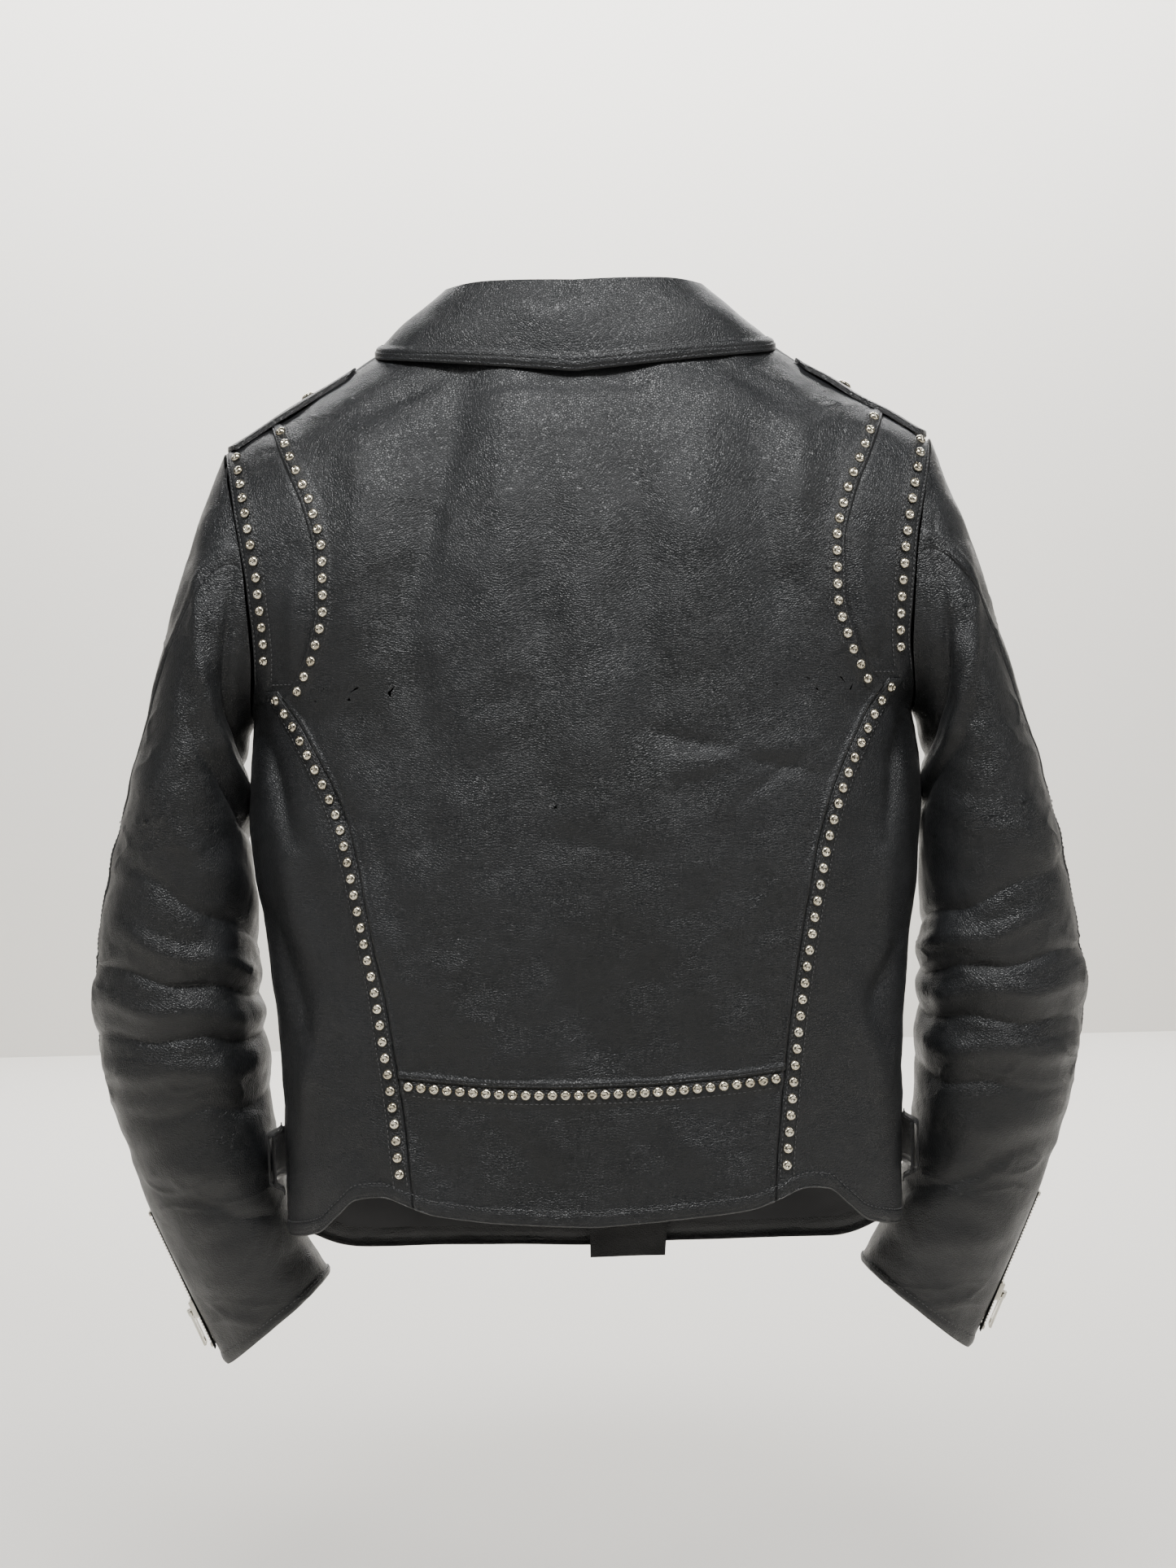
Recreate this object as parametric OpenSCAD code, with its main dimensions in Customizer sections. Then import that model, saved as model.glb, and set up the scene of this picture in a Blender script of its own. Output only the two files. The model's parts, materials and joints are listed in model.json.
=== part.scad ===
// Leather riding jacket, hung by its neck loop. Back faces -Y, the wearer's right is +X.
// The origin is where a peg touches the underside of the hang loop.

/* [Body] */
// Half width of the chest just below the armholes
chest_half_w = 230; // [215:1:245]
// Half width of the hem
hem_half_w = 210; // [195:1:220]
// Depth of the front half of the body, from its middle plane
front_depth = 88; // [80:1:95]
// Depth of the back half of the body at the chest
back_depth = 92; // [84:1:98]
// Thickness of the shell leather
leather_t = 1.6; // [1.2:0.1:2.2]
// Thickness of the lining
lining_t = 0.8; // [0.6:0.1:1.0]
// Height of the back hem at its middle
hem_back_z = -585; // [-600:1:-575]
// Height of the front hem
hem_front_z = -632; // [-640:1:-622]

/* [Shoulders and sleeves] */
// Half width across the shoulder points
shoulder_half_w = 241; // [236:1:246]
// Height of the shoulder points
shoulder_z = -66; // [-70:1:-62]
// Half height of the armhole
armhole_rz = 92; // [86:1:96]
// Half depth of the armhole
armhole_ry = 62; // [56:1:66]

/* [Studs] */
// Radius of a stud's dome
stud_r = 3.5; // [3:0.1:4]
// Height of a stud's dome above the leather
stud_h = 2.3; // [1.8:0.1:2.8]
// Distance between studs along the curved rows
stud_pitch = 10.9; // [10:0.1:12]
// Number of studs along the waist seam
waist_studs = 29; // [21:2:31]

/* [Zips] */
// Width of a closed row of zip teeth
chain_w = 6; // [5:0.5:7]
// Thickness of a row of zip teeth
chain_t = 2.4; // [2:0.1:3]
// Length of a zip puller
pull_l = 26; // [20:1:32]

/* [Belt] */
// Height of the belt strap
belt_w = 32; // [28:1:34]
// Thickness of the belt strap
belt_t = 3; // [2.5:0.1:3.5]

/* [Hidden] */

leather_colour = "#1b1c1e";
under_colour = "#222326";
lining_colour = "#2b2c30";
metal_colour = "#c9c4b6";
seam_gap = 0.5;
lap_gap = 0.7;
// How far the lining lies inside the shell's outer face, on the body and in the sleeves
lining_in = leather_t + 8;
sleeve_lining_in = leather_t + 2.4;
neck_half_w = 85;
neck_side_z = 27;
armpit_z = shoulder_z - 2 * armhole_rz;
armhole_z = shoulder_z - armhole_rz;
waist_z = -494;

// Plain helpers
function mix(a, b, t) = a + (b - a) * t;
function unit(v) = v / norm(v);
function power(v, p) = sign(v) * pow(abs(v), p);

// The torso's horizontal sections: half width, depth and squareness by height
function arm_x(z) = lookup(z, [[armpit_z, chest_half_w - 4], [-205, 220], [-160, 222], [-115, 229],
  [shoulder_z, shoulder_half_w]]);
function squareness(z) = lookup(z, [[-130, 2.4], [shoulder_z, 2.05], [0, 2]]);
function back_y(z) = lookup(z, [[-600, back_depth - 6], [-500, back_depth - 8], [-300, back_depth],
  [-150, back_depth - 4], [shoulder_z, 76], [0, 52], [neck_side_z, 40]]);
function front_y(z) = lookup(z, [[-110, front_depth], [shoulder_z, 78], [0, 56], [neck_side_z, 40]]);
function arm_y(z) = armhole_ry * sqrt(max(0, 1 - pow((z - armhole_z) / armhole_rz, 2)));
function arm_bulge(z, depth) = pow(max(0.05, 1 - pow(arm_y(z) / depth, squareness(z))), 1 / squareness(z));
function half_x(z, depth) =
  z >= shoulder_z ? mix(shoulder_half_w, neck_half_w, (z - shoulder_z) / (neck_side_z - shoulder_z))
  : z > armpit_z ? arm_x(z) / arm_bulge(z, depth)
  : lookup(z, [[-600, hem_half_w], [-460, 214], [-400, 220], [-345, 227], [-300, chest_half_w],
      [armpit_z, chest_half_w - 4]]);

// A point of the torso's outer face. u turns from the back's middle (0) over +X (90) to the front (180)
function torso(u, z) =
  let (depth = cos(u) > 0 ? back_y(z) : front_y(z), m = 2 / squareness(z))
  [half_x(z, depth) * power(sin(u), m), -depth * power(cos(u), m), z];
function torso_n(u, z) =
  let (e = 1.5)
  unit(cross(torso(u + e, z) - torso(u - e, z), torso(u, z + e) - torso(u, z - e)));
function skin(u, z, off) = torso(u, z) + off * torso_n(u, z);

// The angle at which the torso reaches a given x, on the back or on the front
function back_u(x, z) = asin(min(1, pow(x / half_x(z, back_y(z)), squareness(z) / 2)));
function front_u(x, z) = 180 - asin(min(1, pow(x / half_x(z, front_y(z)), squareness(z) / 2)));

// Stud rows on the right half of the back, as x by height, and the seams beside them
function outer_x(z) = arm_x(z) - 9;
function inner_x(z) = lookup(z, [[-237, 191], [-208, 176], [-175, 168], [-145, 168], [-110, 176], [-78, 190],
  [-50, 202], [-42, 206]]);
function lower_x(z) = lookup(z, [[-600, 123], [-552, 126], [-456, 137], [-400, 146], [-340, 158], [-312, 166],
  [-284, 178], [-256, 193], [-228, 212]]);
function inner_u(z) = back_u(inner_x(z) + seam_from_row, z);
function lower_u(z) = back_u(lower_x(z) - seam_from_row, z);
function main_u(z) = z > gusset_foot_z ? min(90, inner_u(z)) : lower_u(z);
seam_from_row = 6;
gusset_foot_z = -234;
side_u = 82;
// The armhole's edge on each half, running on into the side seam
function back_edge_u(z) = z > shoulder_z ? 89.6 : z > armpit_z ? back_u(arm_x(z) - 0.6, z)
  : mix(88, side_u, min(1, (armpit_z - z) / 40));
function front_edge_u(z) = z > shoulder_z ? 90.5 : z > armpit_z ? front_u(arm_x(z) - 0.6, z)
  : mix(91, side_u + 1, min(1, (armpit_z - z) / 40));

// Heights of the neck seam, the collar's edge, the waist seam and the hem
function neck_z(u) = lookup(abs(u), [[0, -2], [45, 8], [90, neck_side_z], [120, 0], [150, -70], [180, -140]]);
function waist_seam_z(u) = waist_z - 1 + 7 * pow(torso(u, waist_z)[0] / 124, 2);
function collar_edge_z(u) = lookup(abs(u), [[0, -25], [31, -16], [61, -9], [90, -3], [120, -22], [145, -78]]);
function waist_row_z(x) = waist_z - seam_from_row + 7 * pow(x / 124, 2);
function hem_z(u) = lookup(abs(u), [[0, hem_back_z], [25, -577], [38, -565], [44, -567], [50, -578],
  [58, -591], [75, -598], [100, -603], [130, -624], [180, hem_front_z]]);

// A thin closed solid between two grids of points, nu by nz cells. wrap joins the first column to the last
module skin_solid(outer, inner, nu, nz, wrap = false) {
  cols = wrap ? nu : nu + 1;
  count = cols * (nz + 1);
  at = function(i, j) j * cols + (i % cols);
  quads = [for (j = [0:nz - 1], i = [0:nu - 1]) [at(i, j), at(i + 1, j), at(i + 1, j + 1), at(i, j + 1)]];
  top = [for (i = [0:nu - 1]) [at(i, 0), at(i + 1, 0)]];
  bottom = [for (i = [nu:-1:1]) [at(i, nz), at(i - 1, nz)]];
  right = wrap ? [] : [for (j = [0:nz - 1]) [at(nu, j), at(nu, j + 1)]];
  left = wrap ? [] : [for (j = [nz:-1:1]) [at(0, j), at(0, j - 1)]];
  outer_faces = [for (q = quads, half = [[q[0], q[1], q[2]], [q[0], q[2], q[3]]]) half];
  inner_faces = [for (f = outer_faces) [count + f[0], count + f[2], count + f[1]]];
  walls = [for (e = concat(top, right, bottom, left))
    for (f = [[e[1], e[0], count + e[0]], [e[1], count + e[0], count + e[1]]]) f];
  polyhedron(points = concat(outer, inner), faces = concat(outer_faces, inner_faces, walls));
}

// A panel of the torso between two seams (angle by height) and two edges (height by angle)
module panel(u_from, u_to, z_top, z_bottom, out, thick, nu, nz) {
  guess = function(p, z) mix(u_from(z), u_to(z), p);
  edge = function(p, rule, z0) rule(guess(p, rule(guess(p, z0))));
  spot = function(p, t) mix(edge(p, z_top, z_top(90)), edge(p, z_bottom, z_bottom(90)), t);
  place = function(i, j, off) let (z = spot(i / nu, j / nz)) skin(guess(i / nu, z), z, off);
  outer = [for (j = [0:nz], i = [0:nu]) place(i, j, out)];
  inner = [for (j = [0:nz], i = [0:nu]) place(i, j, out - thick)];
  skin_solid(outer, inner, nu, nz);
}

module both_sides(right) {
  if (right) children();
  else mirror([1, 0, 0]) children();
}

// Back of the body
module back_panel() {
  color(leather_colour)
    panel(function(z) seam_gap / 2 - main_u(z), function(z) main_u(z) - seam_gap / 2,
      function(u) neck_z(u) - 1, function(u) waist_seam_z(u) + lap_gap, 0, leather_t, 16, 18);
}

module kidney_panel() {
  color(leather_colour)
    panel(function(z) seam_gap - lower_u(z), function(z) lower_u(z) - seam_gap,
      function(u) waist_seam_z(u), function(u) hem_z(u), 0, leather_t, 12, 4);
}

module gusset(right) {
  both_sides(right) color(leather_colour)
    panel(function(z) inner_u(z) + seam_gap, function(z) back_edge_u(z),
      function(u) mix(-49, shoulder_z, max(0, u - 77) / 13), function(u) gusset_foot_z, 0, leather_t, 4, 10);
}

module side_back(right) {
  both_sides(right) color(leather_colour)
    panel(function(z) lower_u(z) + seam_gap, function(z) back_edge_u(z),
      function(u) gusset_foot_z - lap_gap, function(u) hem_z(u), 0, leather_t, 8, 12);
}

// Front of the body. The main zip runs straight up in the plane y = zip_y
zip_y = front_depth + 0.6;
zip_low = [24, zip_y, -600];
zip_high = [62, zip_y, -160];
function zip_x(z) = mix(zip_low[0], zip_high[0], (z - zip_low[2]) / (zip_high[2] - zip_low[2]));
function front_angle(x, z) = x < 0 ? 360 - front_u(-x, z) : front_u(x, z);

module front_right() {
  color(leather_colour)
    panel(function(z) front_edge_u(z), function(z) front_angle(zip_x(z) + lap_gap, z),
      function(u) neck_z(u) - 1, function(u) hem_z(u), 0, leather_t, 9, 16);
}

module front_left() {
  color(leather_colour)
    panel(function(z) front_angle(zip_x(z) - lap_gap, z), function(z) 360 - front_edge_u(z),
      function(u) neck_z(360 - u) - 1, function(u) hem_z(360 - u), 0, leather_t, 11, 16);
}

// The underlap behind the zip, on the wearer's right front
module wind_flap() {
  color(under_colour)
    panel(function(z) front_angle(zip_x(z) + 30, z), function(z) front_angle(-4, z),
      function(u) -150, function(u) hem_front_z - 8, -leather_t - 4.2, leather_t, 5, 8);
}

// Folded-back lapels, lying on the fronts
module lapel(right) {
  tip_u = 128;
  edge = function(z) lookup(z, [[-150, 162], [-110, 145], [-86, tip_u], [-71, 131]]);
  both_sides(right) color(leather_colour)
    panel(edge, function(z) lookup(z, [[-150, 168], [-110, 163], [-71, 148]]),
      function(u) -71, function(u) -150, 3.4, leather_t + 1, 4, 6);
}

// Collar: the stand rises from the neck seam, the fall folds over it and lies on the shoulders
collar_end_u = 140;
fold_rise = 36;
function stand_point(u, t, off) =
  let (foot = skin(u, neck_z(u) + 5, 0), rise = fold_rise * lookup(abs(u), [[0, 0.9], [30, 0.8], [60, 0.5],
    [90, 0.16], [115, 0.3], [collar_end_u, 0.3]]), lean = unit([foot[0], foot[1] + 5, 0]))
  foot + [0, 0, rise * t] + lean * (off + 3.3 - 4.8 * t);
function fall_point(u, t, off) =
  let (top = stand_point(u, 1, 4.5 + off), edge = skin(u, collar_edge_z(u), 4.4 + off),
    bulge = 5 * sin(180 * t), lean = unit([edge[0], edge[1], 0]))
  top * (1 - t) + edge * t + lean * bulge + [0, 0, 2 * (1 - t) * (1 - t) * (1 - t)];

module collar_stand() {
  color(leather_colour)
    collar_skin(function(u, t, off) stand_point(u, 1 - t, off), 0, 2.2, 28, 3);
}

module collar_fall() {
  color(leather_colour)
    collar_skin(function(u, t, off) fall_point(u, t, off), 0, 3, 28, 5);
}

module collar_skin(rule, out, thick, nu, nz) {
  u = function(i) mix(-collar_end_u, collar_end_u, i / nu);
  outer = [for (j = [0:nz], i = [0:nu]) rule(u(i), j / nz, out)];
  inner = [for (j = [0:nz], i = [0:nu]) rule(u(i), j / nz, out - thick)];
  skin_solid(outer, inner, nu, nz);
}

// Sleeves: rings between an outer point and an inner point, from the armhole (0) to the cuff (9)
function outer_point(s) = [
  lookup(s, [[0, shoulder_half_w], [1, 263], [2, 291], [3, 316], [4, 334], [5, 343], [6, 337], [7, 320],
    [8, 292], [9, 264]]), 0,
  lookup(s, [[0, shoulder_z], [1, -122], [2, -216], [3, -305], [4, -382], [5, -445], [6, -503], [7, -564],
    [8, -638], [9, -704]])];
function inner_point(s) = [
  lookup(s, [[0, 227], [1, 234], [2, 237], [3, 238], [4, 240], [5, 240], [6, 235], [7, 224], [8, 209],
    [9, 192]]), 0,
  lookup(s, [[0, armpit_z], [1, -264], [2, -292], [3, -340], [4, -395], [5, -450], [6, -515], [7, -576],
    [8, -615], [9, -642]])];
function sleeve_depth(s) = lookup(s, [[0, armhole_ry], [1, 68], [2, 70], [3, 68], [5, 62], [7, 50], [9, 40]]);
function sleeve_forward(s) = lookup(s, [[0, 0], [2, 3], [4, 10], [6, 26], [8, 50], [9, 62]]);
function sleeve_base(s, v) =
  let (o = outer_point(s), i = inner_point(s), c = (o + i) / 2, r = (o - i) / 2,
    ring = c + r * cos(v) + [0, sleeve_forward(s) - sleeve_depth(s) * sin(v), 0],
    hole_z = armhole_z + armhole_rz * cos(v), hole = [arm_x(hole_z) + 0.5, -armhole_ry * sin(v), hole_z])
  mix(hole, ring, min(1, s));
function sleeve_skin(s, v, off) =
  let (ds = 0.1, dv = 2,
    n = unit(cross(sleeve_base(s, v + dv) - sleeve_base(s, v - dv),
      sleeve_base(min(9, s + ds), v) - sleeve_base(max(0, s - ds), v))))
  sleeve_base(s, v) - off * n;
function back_seam(s) = lookup(s, [[0, 88], [1, 66], [2, 40], [3, 20], [5, 8], [9, 4]]);
function inner_seam(s) = lookup(s, [[0, 195], [2, 185], [4, 160], [9, 150]]);

sleeve_rows = 16;
module sleeve_part(right, v_from, v_to, nu) {
  ring = function(j) 9 * j / sleeve_rows;
  v = function(i, s) mix(v_from(s), v_to(s), i / nu);
  outer = [for (j = [0:sleeve_rows], i = [0:nu]) sleeve_skin(ring(j), v(i, ring(j)), 0)];
  inner = [for (j = [0:sleeve_rows], i = [0:nu]) sleeve_skin(ring(j), v(i, ring(j)), -leather_t)];
  both_sides(right) skin_solid(inner, outer, nu, sleeve_rows, false);
}

module sleeve_upper(right) {
  color(leather_colour)
    sleeve_part(right, function(s) inner_seam(s) - 360 + seam_gap, function(s) back_seam(s) - seam_gap, 10);
}

module sleeve_under(right) {
  color(leather_colour)
    sleeve_part(right, function(s) back_seam(s) + seam_gap, function(s) inner_seam(s) - seam_gap, 6);
}

// The lining tube stays parallel to the leather and stops above the cuff zip
module sleeve_lining(right) {
  first = 2;
  last = 12;
  v = function(i, s) i < 10 ? mix(inner_seam(s) - 360, back_seam(s), i / 10)
    : mix(back_seam(s), inner_seam(s), (i - 10) / 6);
  tube = function(off) [for (j = [first:last], i = [0:15]) let (s = 9 * j / sleeve_rows)
    sleeve_skin(s, v(i, s), off)];
  both_sides(right) color(lining_colour)
    skin_solid(tube(-sleeve_lining_in - lining_t), tube(-sleeve_lining_in), 16, last - first, true);
}

// Body lining
module lining_back() {
  color(lining_colour)
    panel(function(z) -lining_side_u(z), function(z) lining_side_u(z),
      function(u) lining_top_z(u), function(u) hem_z(u) + 14, -lining_in, lining_t, 16, 18);
}
function lining_top_z(u) = lookup(abs(u), [[0, -17], [34, -17], [50, 4], [90, 22]]);
function lining_side_u(z) = z > shoulder_z ? 86 : z > armpit_z ? back_u(arm_x(z) - 3, z) : side_u - 3;

module lining_front(right) {
  near = function(z) z > shoulder_z ? 94 : z > armpit_z ? front_u(arm_x(z) - 5, z) : side_u + 4;
  middle = function(z) right ? front_angle(zip_x(z) + 38, z) : front_angle(38 - zip_x(z), z);
  both_sides(right) color(lining_colour)
    panel(near, middle, function(u) min(neck_z(u), 8) - 4, function(u) hem_z(u) + 14,
      -lining_in - 3, lining_t, 9, 16);
}

// Hang loop: a folded strip sewn into the neck seam and drawn up by the peg. The rest of the jacket is
// drawn about its own middle plane and moved to the loop by from_loop
loop_half_w = 30;
loop_drop = 10;
loop_strip = 1.8;
loop_y = -back_y(0) + 7;
module from_loop() { translate([0, -loop_y, 0]) children(); }
module hang_loop() {
  color(leather_colour) translate([0, loop_y, 0]) rotate([90, 0, 0])
    linear_extrude(height = 6, center = true) difference() {
      translate([-loop_half_w, -loop_drop - 4]) square([2 * loop_half_w, loop_drop + 4 + loop_strip]);
      translate([-loop_half_w + 6, -loop_drop]) square([2 * loop_half_w - 12, loop_drop]);
    }
}

// Epaulettes on the shoulder ridges, sewn at the armhole and snapped near the collar
epaulette_half_w = 19;
module epaulette(right) {
  reach = function(z) asin(epaulette_half_w / back_y(z));
  both_sides(right) color(leather_colour)
    panel(function(z) 90 - reach(z), function(z) 90 + reach(z), function(u) -22, function(u) shoulder_z + 1,
      4.2, 3, 4, 7);
}

// Domed snap cap, axis along Z, foot at the origin
module snap_cap(r = 5, h = 2.2) {
  rotate_extrude($fn = 40)
    polygon([[0, 0], [r, 0], [r, 0.5], [0.86 * r, 0.62 * h], [0.6 * r, 0.92 * h], [0.3 * r, h], [0, h]]);
}

// Puts its children at a point with their Z axis along a direction
module aim(point, direction) {
  d = unit(direction);
  translate(point) rotate([0, acos(d[2]), atan2(d[1], d[0])]) children();
}

module epaulette_snaps(right) {
  z = -31;
  both_sides(right) color(metal_colour) aim(skin(90, z, 4.6), torso_n(90, z)) snap_cap();
}

module lapel_snaps() {
  for (right = [false, true])
    both_sides(right) color(metal_colour) aim(skin(133, -92, 3.8), torso_n(133, -92)) snap_cap(4.4, 2);
}

// Domed stud with a ringed flat top and its shank in the leather
module stud() {
  rotate_extrude($fn = 24)
    polygon([[0, -leather_t], [0.7, -leather_t], [0.7, 0.1], [stud_r, 0.1], [stud_r, 0.5],
      [0.86 * stud_r, 0.62 * stud_h], [0.62 * stud_r, 0.9 * stud_h], [0.4 * stud_r, stud_h],
      [0.34 * stud_r, 0.9 * stud_h], [0, 0.88 * stud_h]]);
}

function row_heights(rule, z, stop) =
  z < stop ? []
  : let (slope = (rule(z - 2) - rule(z + 2)) / 4)
    concat([z], row_heights(rule, z - stud_pitch / sqrt(1 + slope * slope), stop));

module stud_row(rule, start, stop) {
  for (z = row_heights(rule, start, stop)) {
    u = back_u(rule(z), z);
    aim(skin(u, z, 0), torso_n(u, z)) stud();
  }
}

module studs_outer() {
  for (right = [false, true])
    both_sides(right) color(metal_colour) stud_row(function(z) outer_x(z), shoulder_z - 6, -222);
}

module studs_inner(right) {
  both_sides(right) color(metal_colour) stud_row(function(z) inner_x(z), -57, -237);
}

module studs_lower(right) {
  both_sides(right) color(metal_colour) stud_row(function(z) lower_x(z), -238, -556);
}

module studs_waist() {
  last = (waist_studs - 1) / 2;
  reach = 120;
  color(metal_colour) for (k = [-last:last]) {
    x = reach * k / last;
    z = waist_row_z(x);
    u = sign(x) * back_u(abs(x), z);
    aim(skin(u, z, 0), torso_n(u, z)) stud();
  }
}

// Half belt on the front, through a loop at each side seam
belt_z = -548;
belt_off = 6;
belt_low = belt_z - belt_w / 2;
belt_high = belt_z + belt_w / 2;
buckle_x = -52;
buckle_w = 34;
bar_x = buckle_x - buckle_w / 2 + 3;
module belt_right() {
  color(leather_colour)
    panel(function(z) 76, function(z) front_angle(bar_x + 7, z), function(u) belt_high,
      function(u) belt_low, belt_off + belt_t, belt_t, 16, 2);
}

module belt_left() {
  color(leather_colour)
    panel(function(z) front_angle(bar_x - 4, z), function(z) 284, function(u) belt_high,
      function(u) belt_low, belt_off + belt_t, belt_t, 9, 2);
}

module belt_loop(right) {
  loop_u = 84;
  reach = 3.5;
  both_sides(right) color(leather_colour) {
    panel(function(z) loop_u - reach, function(z) loop_u + reach, function(u) belt_high + 7,
      function(u) belt_low - 7, belt_off + belt_t + 3, 2, 3, 4);
    for (z = [belt_high + 1.5, belt_low - 6.8])
      panel(function(z) loop_u - reach, function(z) loop_u + reach, function(u) z + 5.3, function(u) z,
        belt_off + belt_t + 1, belt_off + belt_t + 0.6, 3, 1);
  }
}

// Roller buckle: a square frame with a centre bar, and a prong that swings on the bar
buckle_y = front_depth + belt_off + belt_t + 3;
buckle_h = belt_w + 12;
buckle_bar = 1.6;
module buckle_frame() {
  color(metal_colour) translate([buckle_x, buckle_y, belt_z]) rotate([90, 0, 0]) {
    linear_extrude(height = 2.6, center = true) difference() {
      offset(r = 3) square([buckle_w - 6, buckle_h - 6], center = true);
      offset(r = 1.5) square([buckle_w - 12, buckle_h - 12], center = true);
      translate([bar_x - buckle_x, 0]) square([8, 6], center = true);
    }
    translate([bar_x - buckle_x, 0, 0]) rotate([90, 0, 0])
      cylinder(r = buckle_bar, h = buckle_h - 2, center = true, $fn = 32);
  }
}

module buckle_prong() {
  color(metal_colour) translate([bar_x, buckle_y, belt_z]) {
    difference() {
      cylinder(r = buckle_bar + 1.5, h = 5, center = true, $fn = 32);
      cylinder(r = buckle_bar + 0.15, h = 6, center = true, $fn = 32);
    }
    translate([1.5, 1.8, -1.5]) cube([buckle_w - 4, 1.3, 3]);
  }
}

// Zips. Each lies along local Y from its lower stop, with local Z away from the leather
module zip_frame(low, high, out) {
  along = unit(high - low);
  across = unit(cross(along, out));
  face = cross(across, along);
  multmatrix([[across[0], along[0], face[0], low[0]], [across[1], along[1], face[1], low[1]],
    [across[2], along[2], face[2], low[2]], [0, 0, 0, 1]]) children();
}

module zip_chain(length) {
  color(metal_colour) translate([-chain_w / 2, 0, 0]) cube([chain_w, length, chain_t]);
  for (y = [-3.2, length + 0.2])
    color(metal_colour) translate([-chain_w / 2 - 1, y, 0]) cube([chain_w + 2, 3, chain_t + 0.6]);
}

slider_l = 13;
slider_top = chain_t + 0.4;
lug_h = 4.4;
lug_r = 1.1;
module zip_slider(at) {
  color(metal_colour) translate([0, at, 0]) {
    difference() {
      translate([-chain_w / 2 - 2, 0, 0.1]) cube([chain_w + 4, slider_l, slider_top + 1.4]);
      translate([-chain_w / 2 - 0.4, -1, -1]) cube([chain_w + 0.8, slider_l + 2, slider_top + 1]);
    }
    difference() {
      translate([-1.6, 2, slider_top + 1.4]) cube([3.2, 5, lug_h]);
      translate([0, 4.5, slider_top + 1.5 + lug_h / 2]) rotate([0, 90, 0])
        cylinder(r = lug_r, h = 12, center = true, $fn = 32);
    }
  }
}

module zip_pull(at) {
  color(metal_colour) translate([0, at + 4.5, slider_top + 1.5 + lug_h / 2]) {
    rotate([0, 90, 0]) cylinder(r = lug_r - 0.15, h = 7, center = true, $fn = 32);
    for (x = [-3.5, 2]) translate([x, -5, -0.8]) cube([1.5, 5.6, 1.6]);
    difference() {
      translate([-3.5, -pull_l, -0.8]) cube([7, pull_l - 4.8, 1.6]);
      translate([0, 4 - pull_l, 0]) cylinder(r = 1.8, h = 4, center = true, $fn = 32);
    }
  }
}

main_len = norm(zip_high - zip_low);
module main_zip_chain() { zip_frame(zip_low, zip_high, [0, 1, 0]) zip_chain(main_len); }
module main_zip_slider() { zip_frame(zip_low, zip_high, [0, 1, 0]) zip_slider(main_len - slider_l); }
module main_zip_pull() { zip_frame(zip_low, zip_high, [0, 1, 0]) zip_pull(main_len - slider_l); }

// Pocket zips on the fronts, each straight between two spots just above the leather
function front_spot(x, z, off) = skin(front_angle(x, z), z, off);
function front_out(low, high) =
  let (mid = (low + high) / 2) torso_n(front_angle(mid[0], mid[2]), mid[2]);
module pocket_zip(low, high, piece) {
  zip_frame(low, high, front_out(low, high)) {
    if (piece == "chain") zip_chain(norm(high - low));
    if (piece == "slider") zip_slider(norm(high - low) - slider_l);
    if (piece == "pull") zip_pull(norm(high - low) - slider_l);
  }
}

// Chest pocket, slanted on the wearer's left front
chest_low = front_spot(-140, -230, 2.6);
chest_high = front_spot(-66, -192, 2.6);
module chest_zip_chain() { pocket_zip(chest_low, chest_high, "chain"); }
module chest_zip_slider() { pocket_zip(chest_low, chest_high, "slider"); }
module chest_zip_pull() { pocket_zip(chest_low, chest_high, "pull"); }

// Hand pockets on both fronts
hand_low = front_spot(160, -500, 3.2);
hand_high = front_spot(116, -380, 3.2);
module hand_zip(right, piece) { both_sides(right) pocket_zip(hand_low, hand_high, piece); }

// Cuff zips, up the outer edge of each sleeve
cuff_low = sleeve_skin(8.75, back_seam(9), -3.4);
cuff_high = sleeve_skin(7.4, back_seam(8), -2.6);
cuff_len = norm(cuff_high - cuff_low);
cuff_out = [1, 0, -0.25];
cuff_slider_at = 21;
module cuff_zip(right) { both_sides(right) zip_frame(cuff_low, cuff_high, cuff_out) children(); }
module cuff_zip_chain(right) { cuff_zip(right) zip_chain(cuff_len); }
module cuff_zip_slider(right) { cuff_zip(right) zip_slider(cuff_slider_at); }
module cuff_zip_pull(right) { cuff_zip(right) zip_pull(cuff_slider_at); }

// Coin pocket flap on the wearer's left front, hinged along its top edge
coin_x = -72;
coin_z = -423;
coin_t = 2.4;
coin_turn = 5.2;
coin_pivot = front_spot(coin_x, coin_z, coin_t / 2 + 0.5);
module coin_place(drop, out) {
  translate(coin_pivot) rotate([0, 0, coin_turn]) translate([0, out, -drop]) children();
}
module coin_flap() {
  color(leather_colour) coin_place(0, 0) rotate([90, 0, 0])
    linear_extrude(height = coin_t, center = true)
      polygon([[-32, 0], [32, 0], [32, -30], [0, -46], [-32, -30]]);
}

module coin_snap() {
  color(metal_colour) coin_place(36, coin_t / 2 + 0.05) rotate([-90, 0, 0]) snap_cap(4.4, 2);
}

from_loop() back_panel();
from_loop() kidney_panel();
from_loop() gusset(false);  // gusset_left
from_loop() gusset(true);  // gusset_right
from_loop() side_back(false);  // side_back_left
from_loop() side_back(true);  // side_back_right
from_loop() front_left();
from_loop() front_right();
from_loop() wind_flap();
from_loop() lapel(false);  // lapel_left
from_loop() lapel(true);  // lapel_right
from_loop() collar_stand();
from_loop() collar_fall();
from_loop() sleeve_upper(false);  // sleeve_upper_left
from_loop() sleeve_upper(true);  // sleeve_upper_right
from_loop() sleeve_under(false);  // sleeve_under_left
from_loop() sleeve_under(true);  // sleeve_under_right
from_loop() sleeve_lining(false);  // sleeve_lining_left
from_loop() sleeve_lining(true);  // sleeve_lining_right
from_loop() lining_back();
from_loop() lining_front(false);  // lining_front_left
from_loop() lining_front(true);  // lining_front_right
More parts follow.
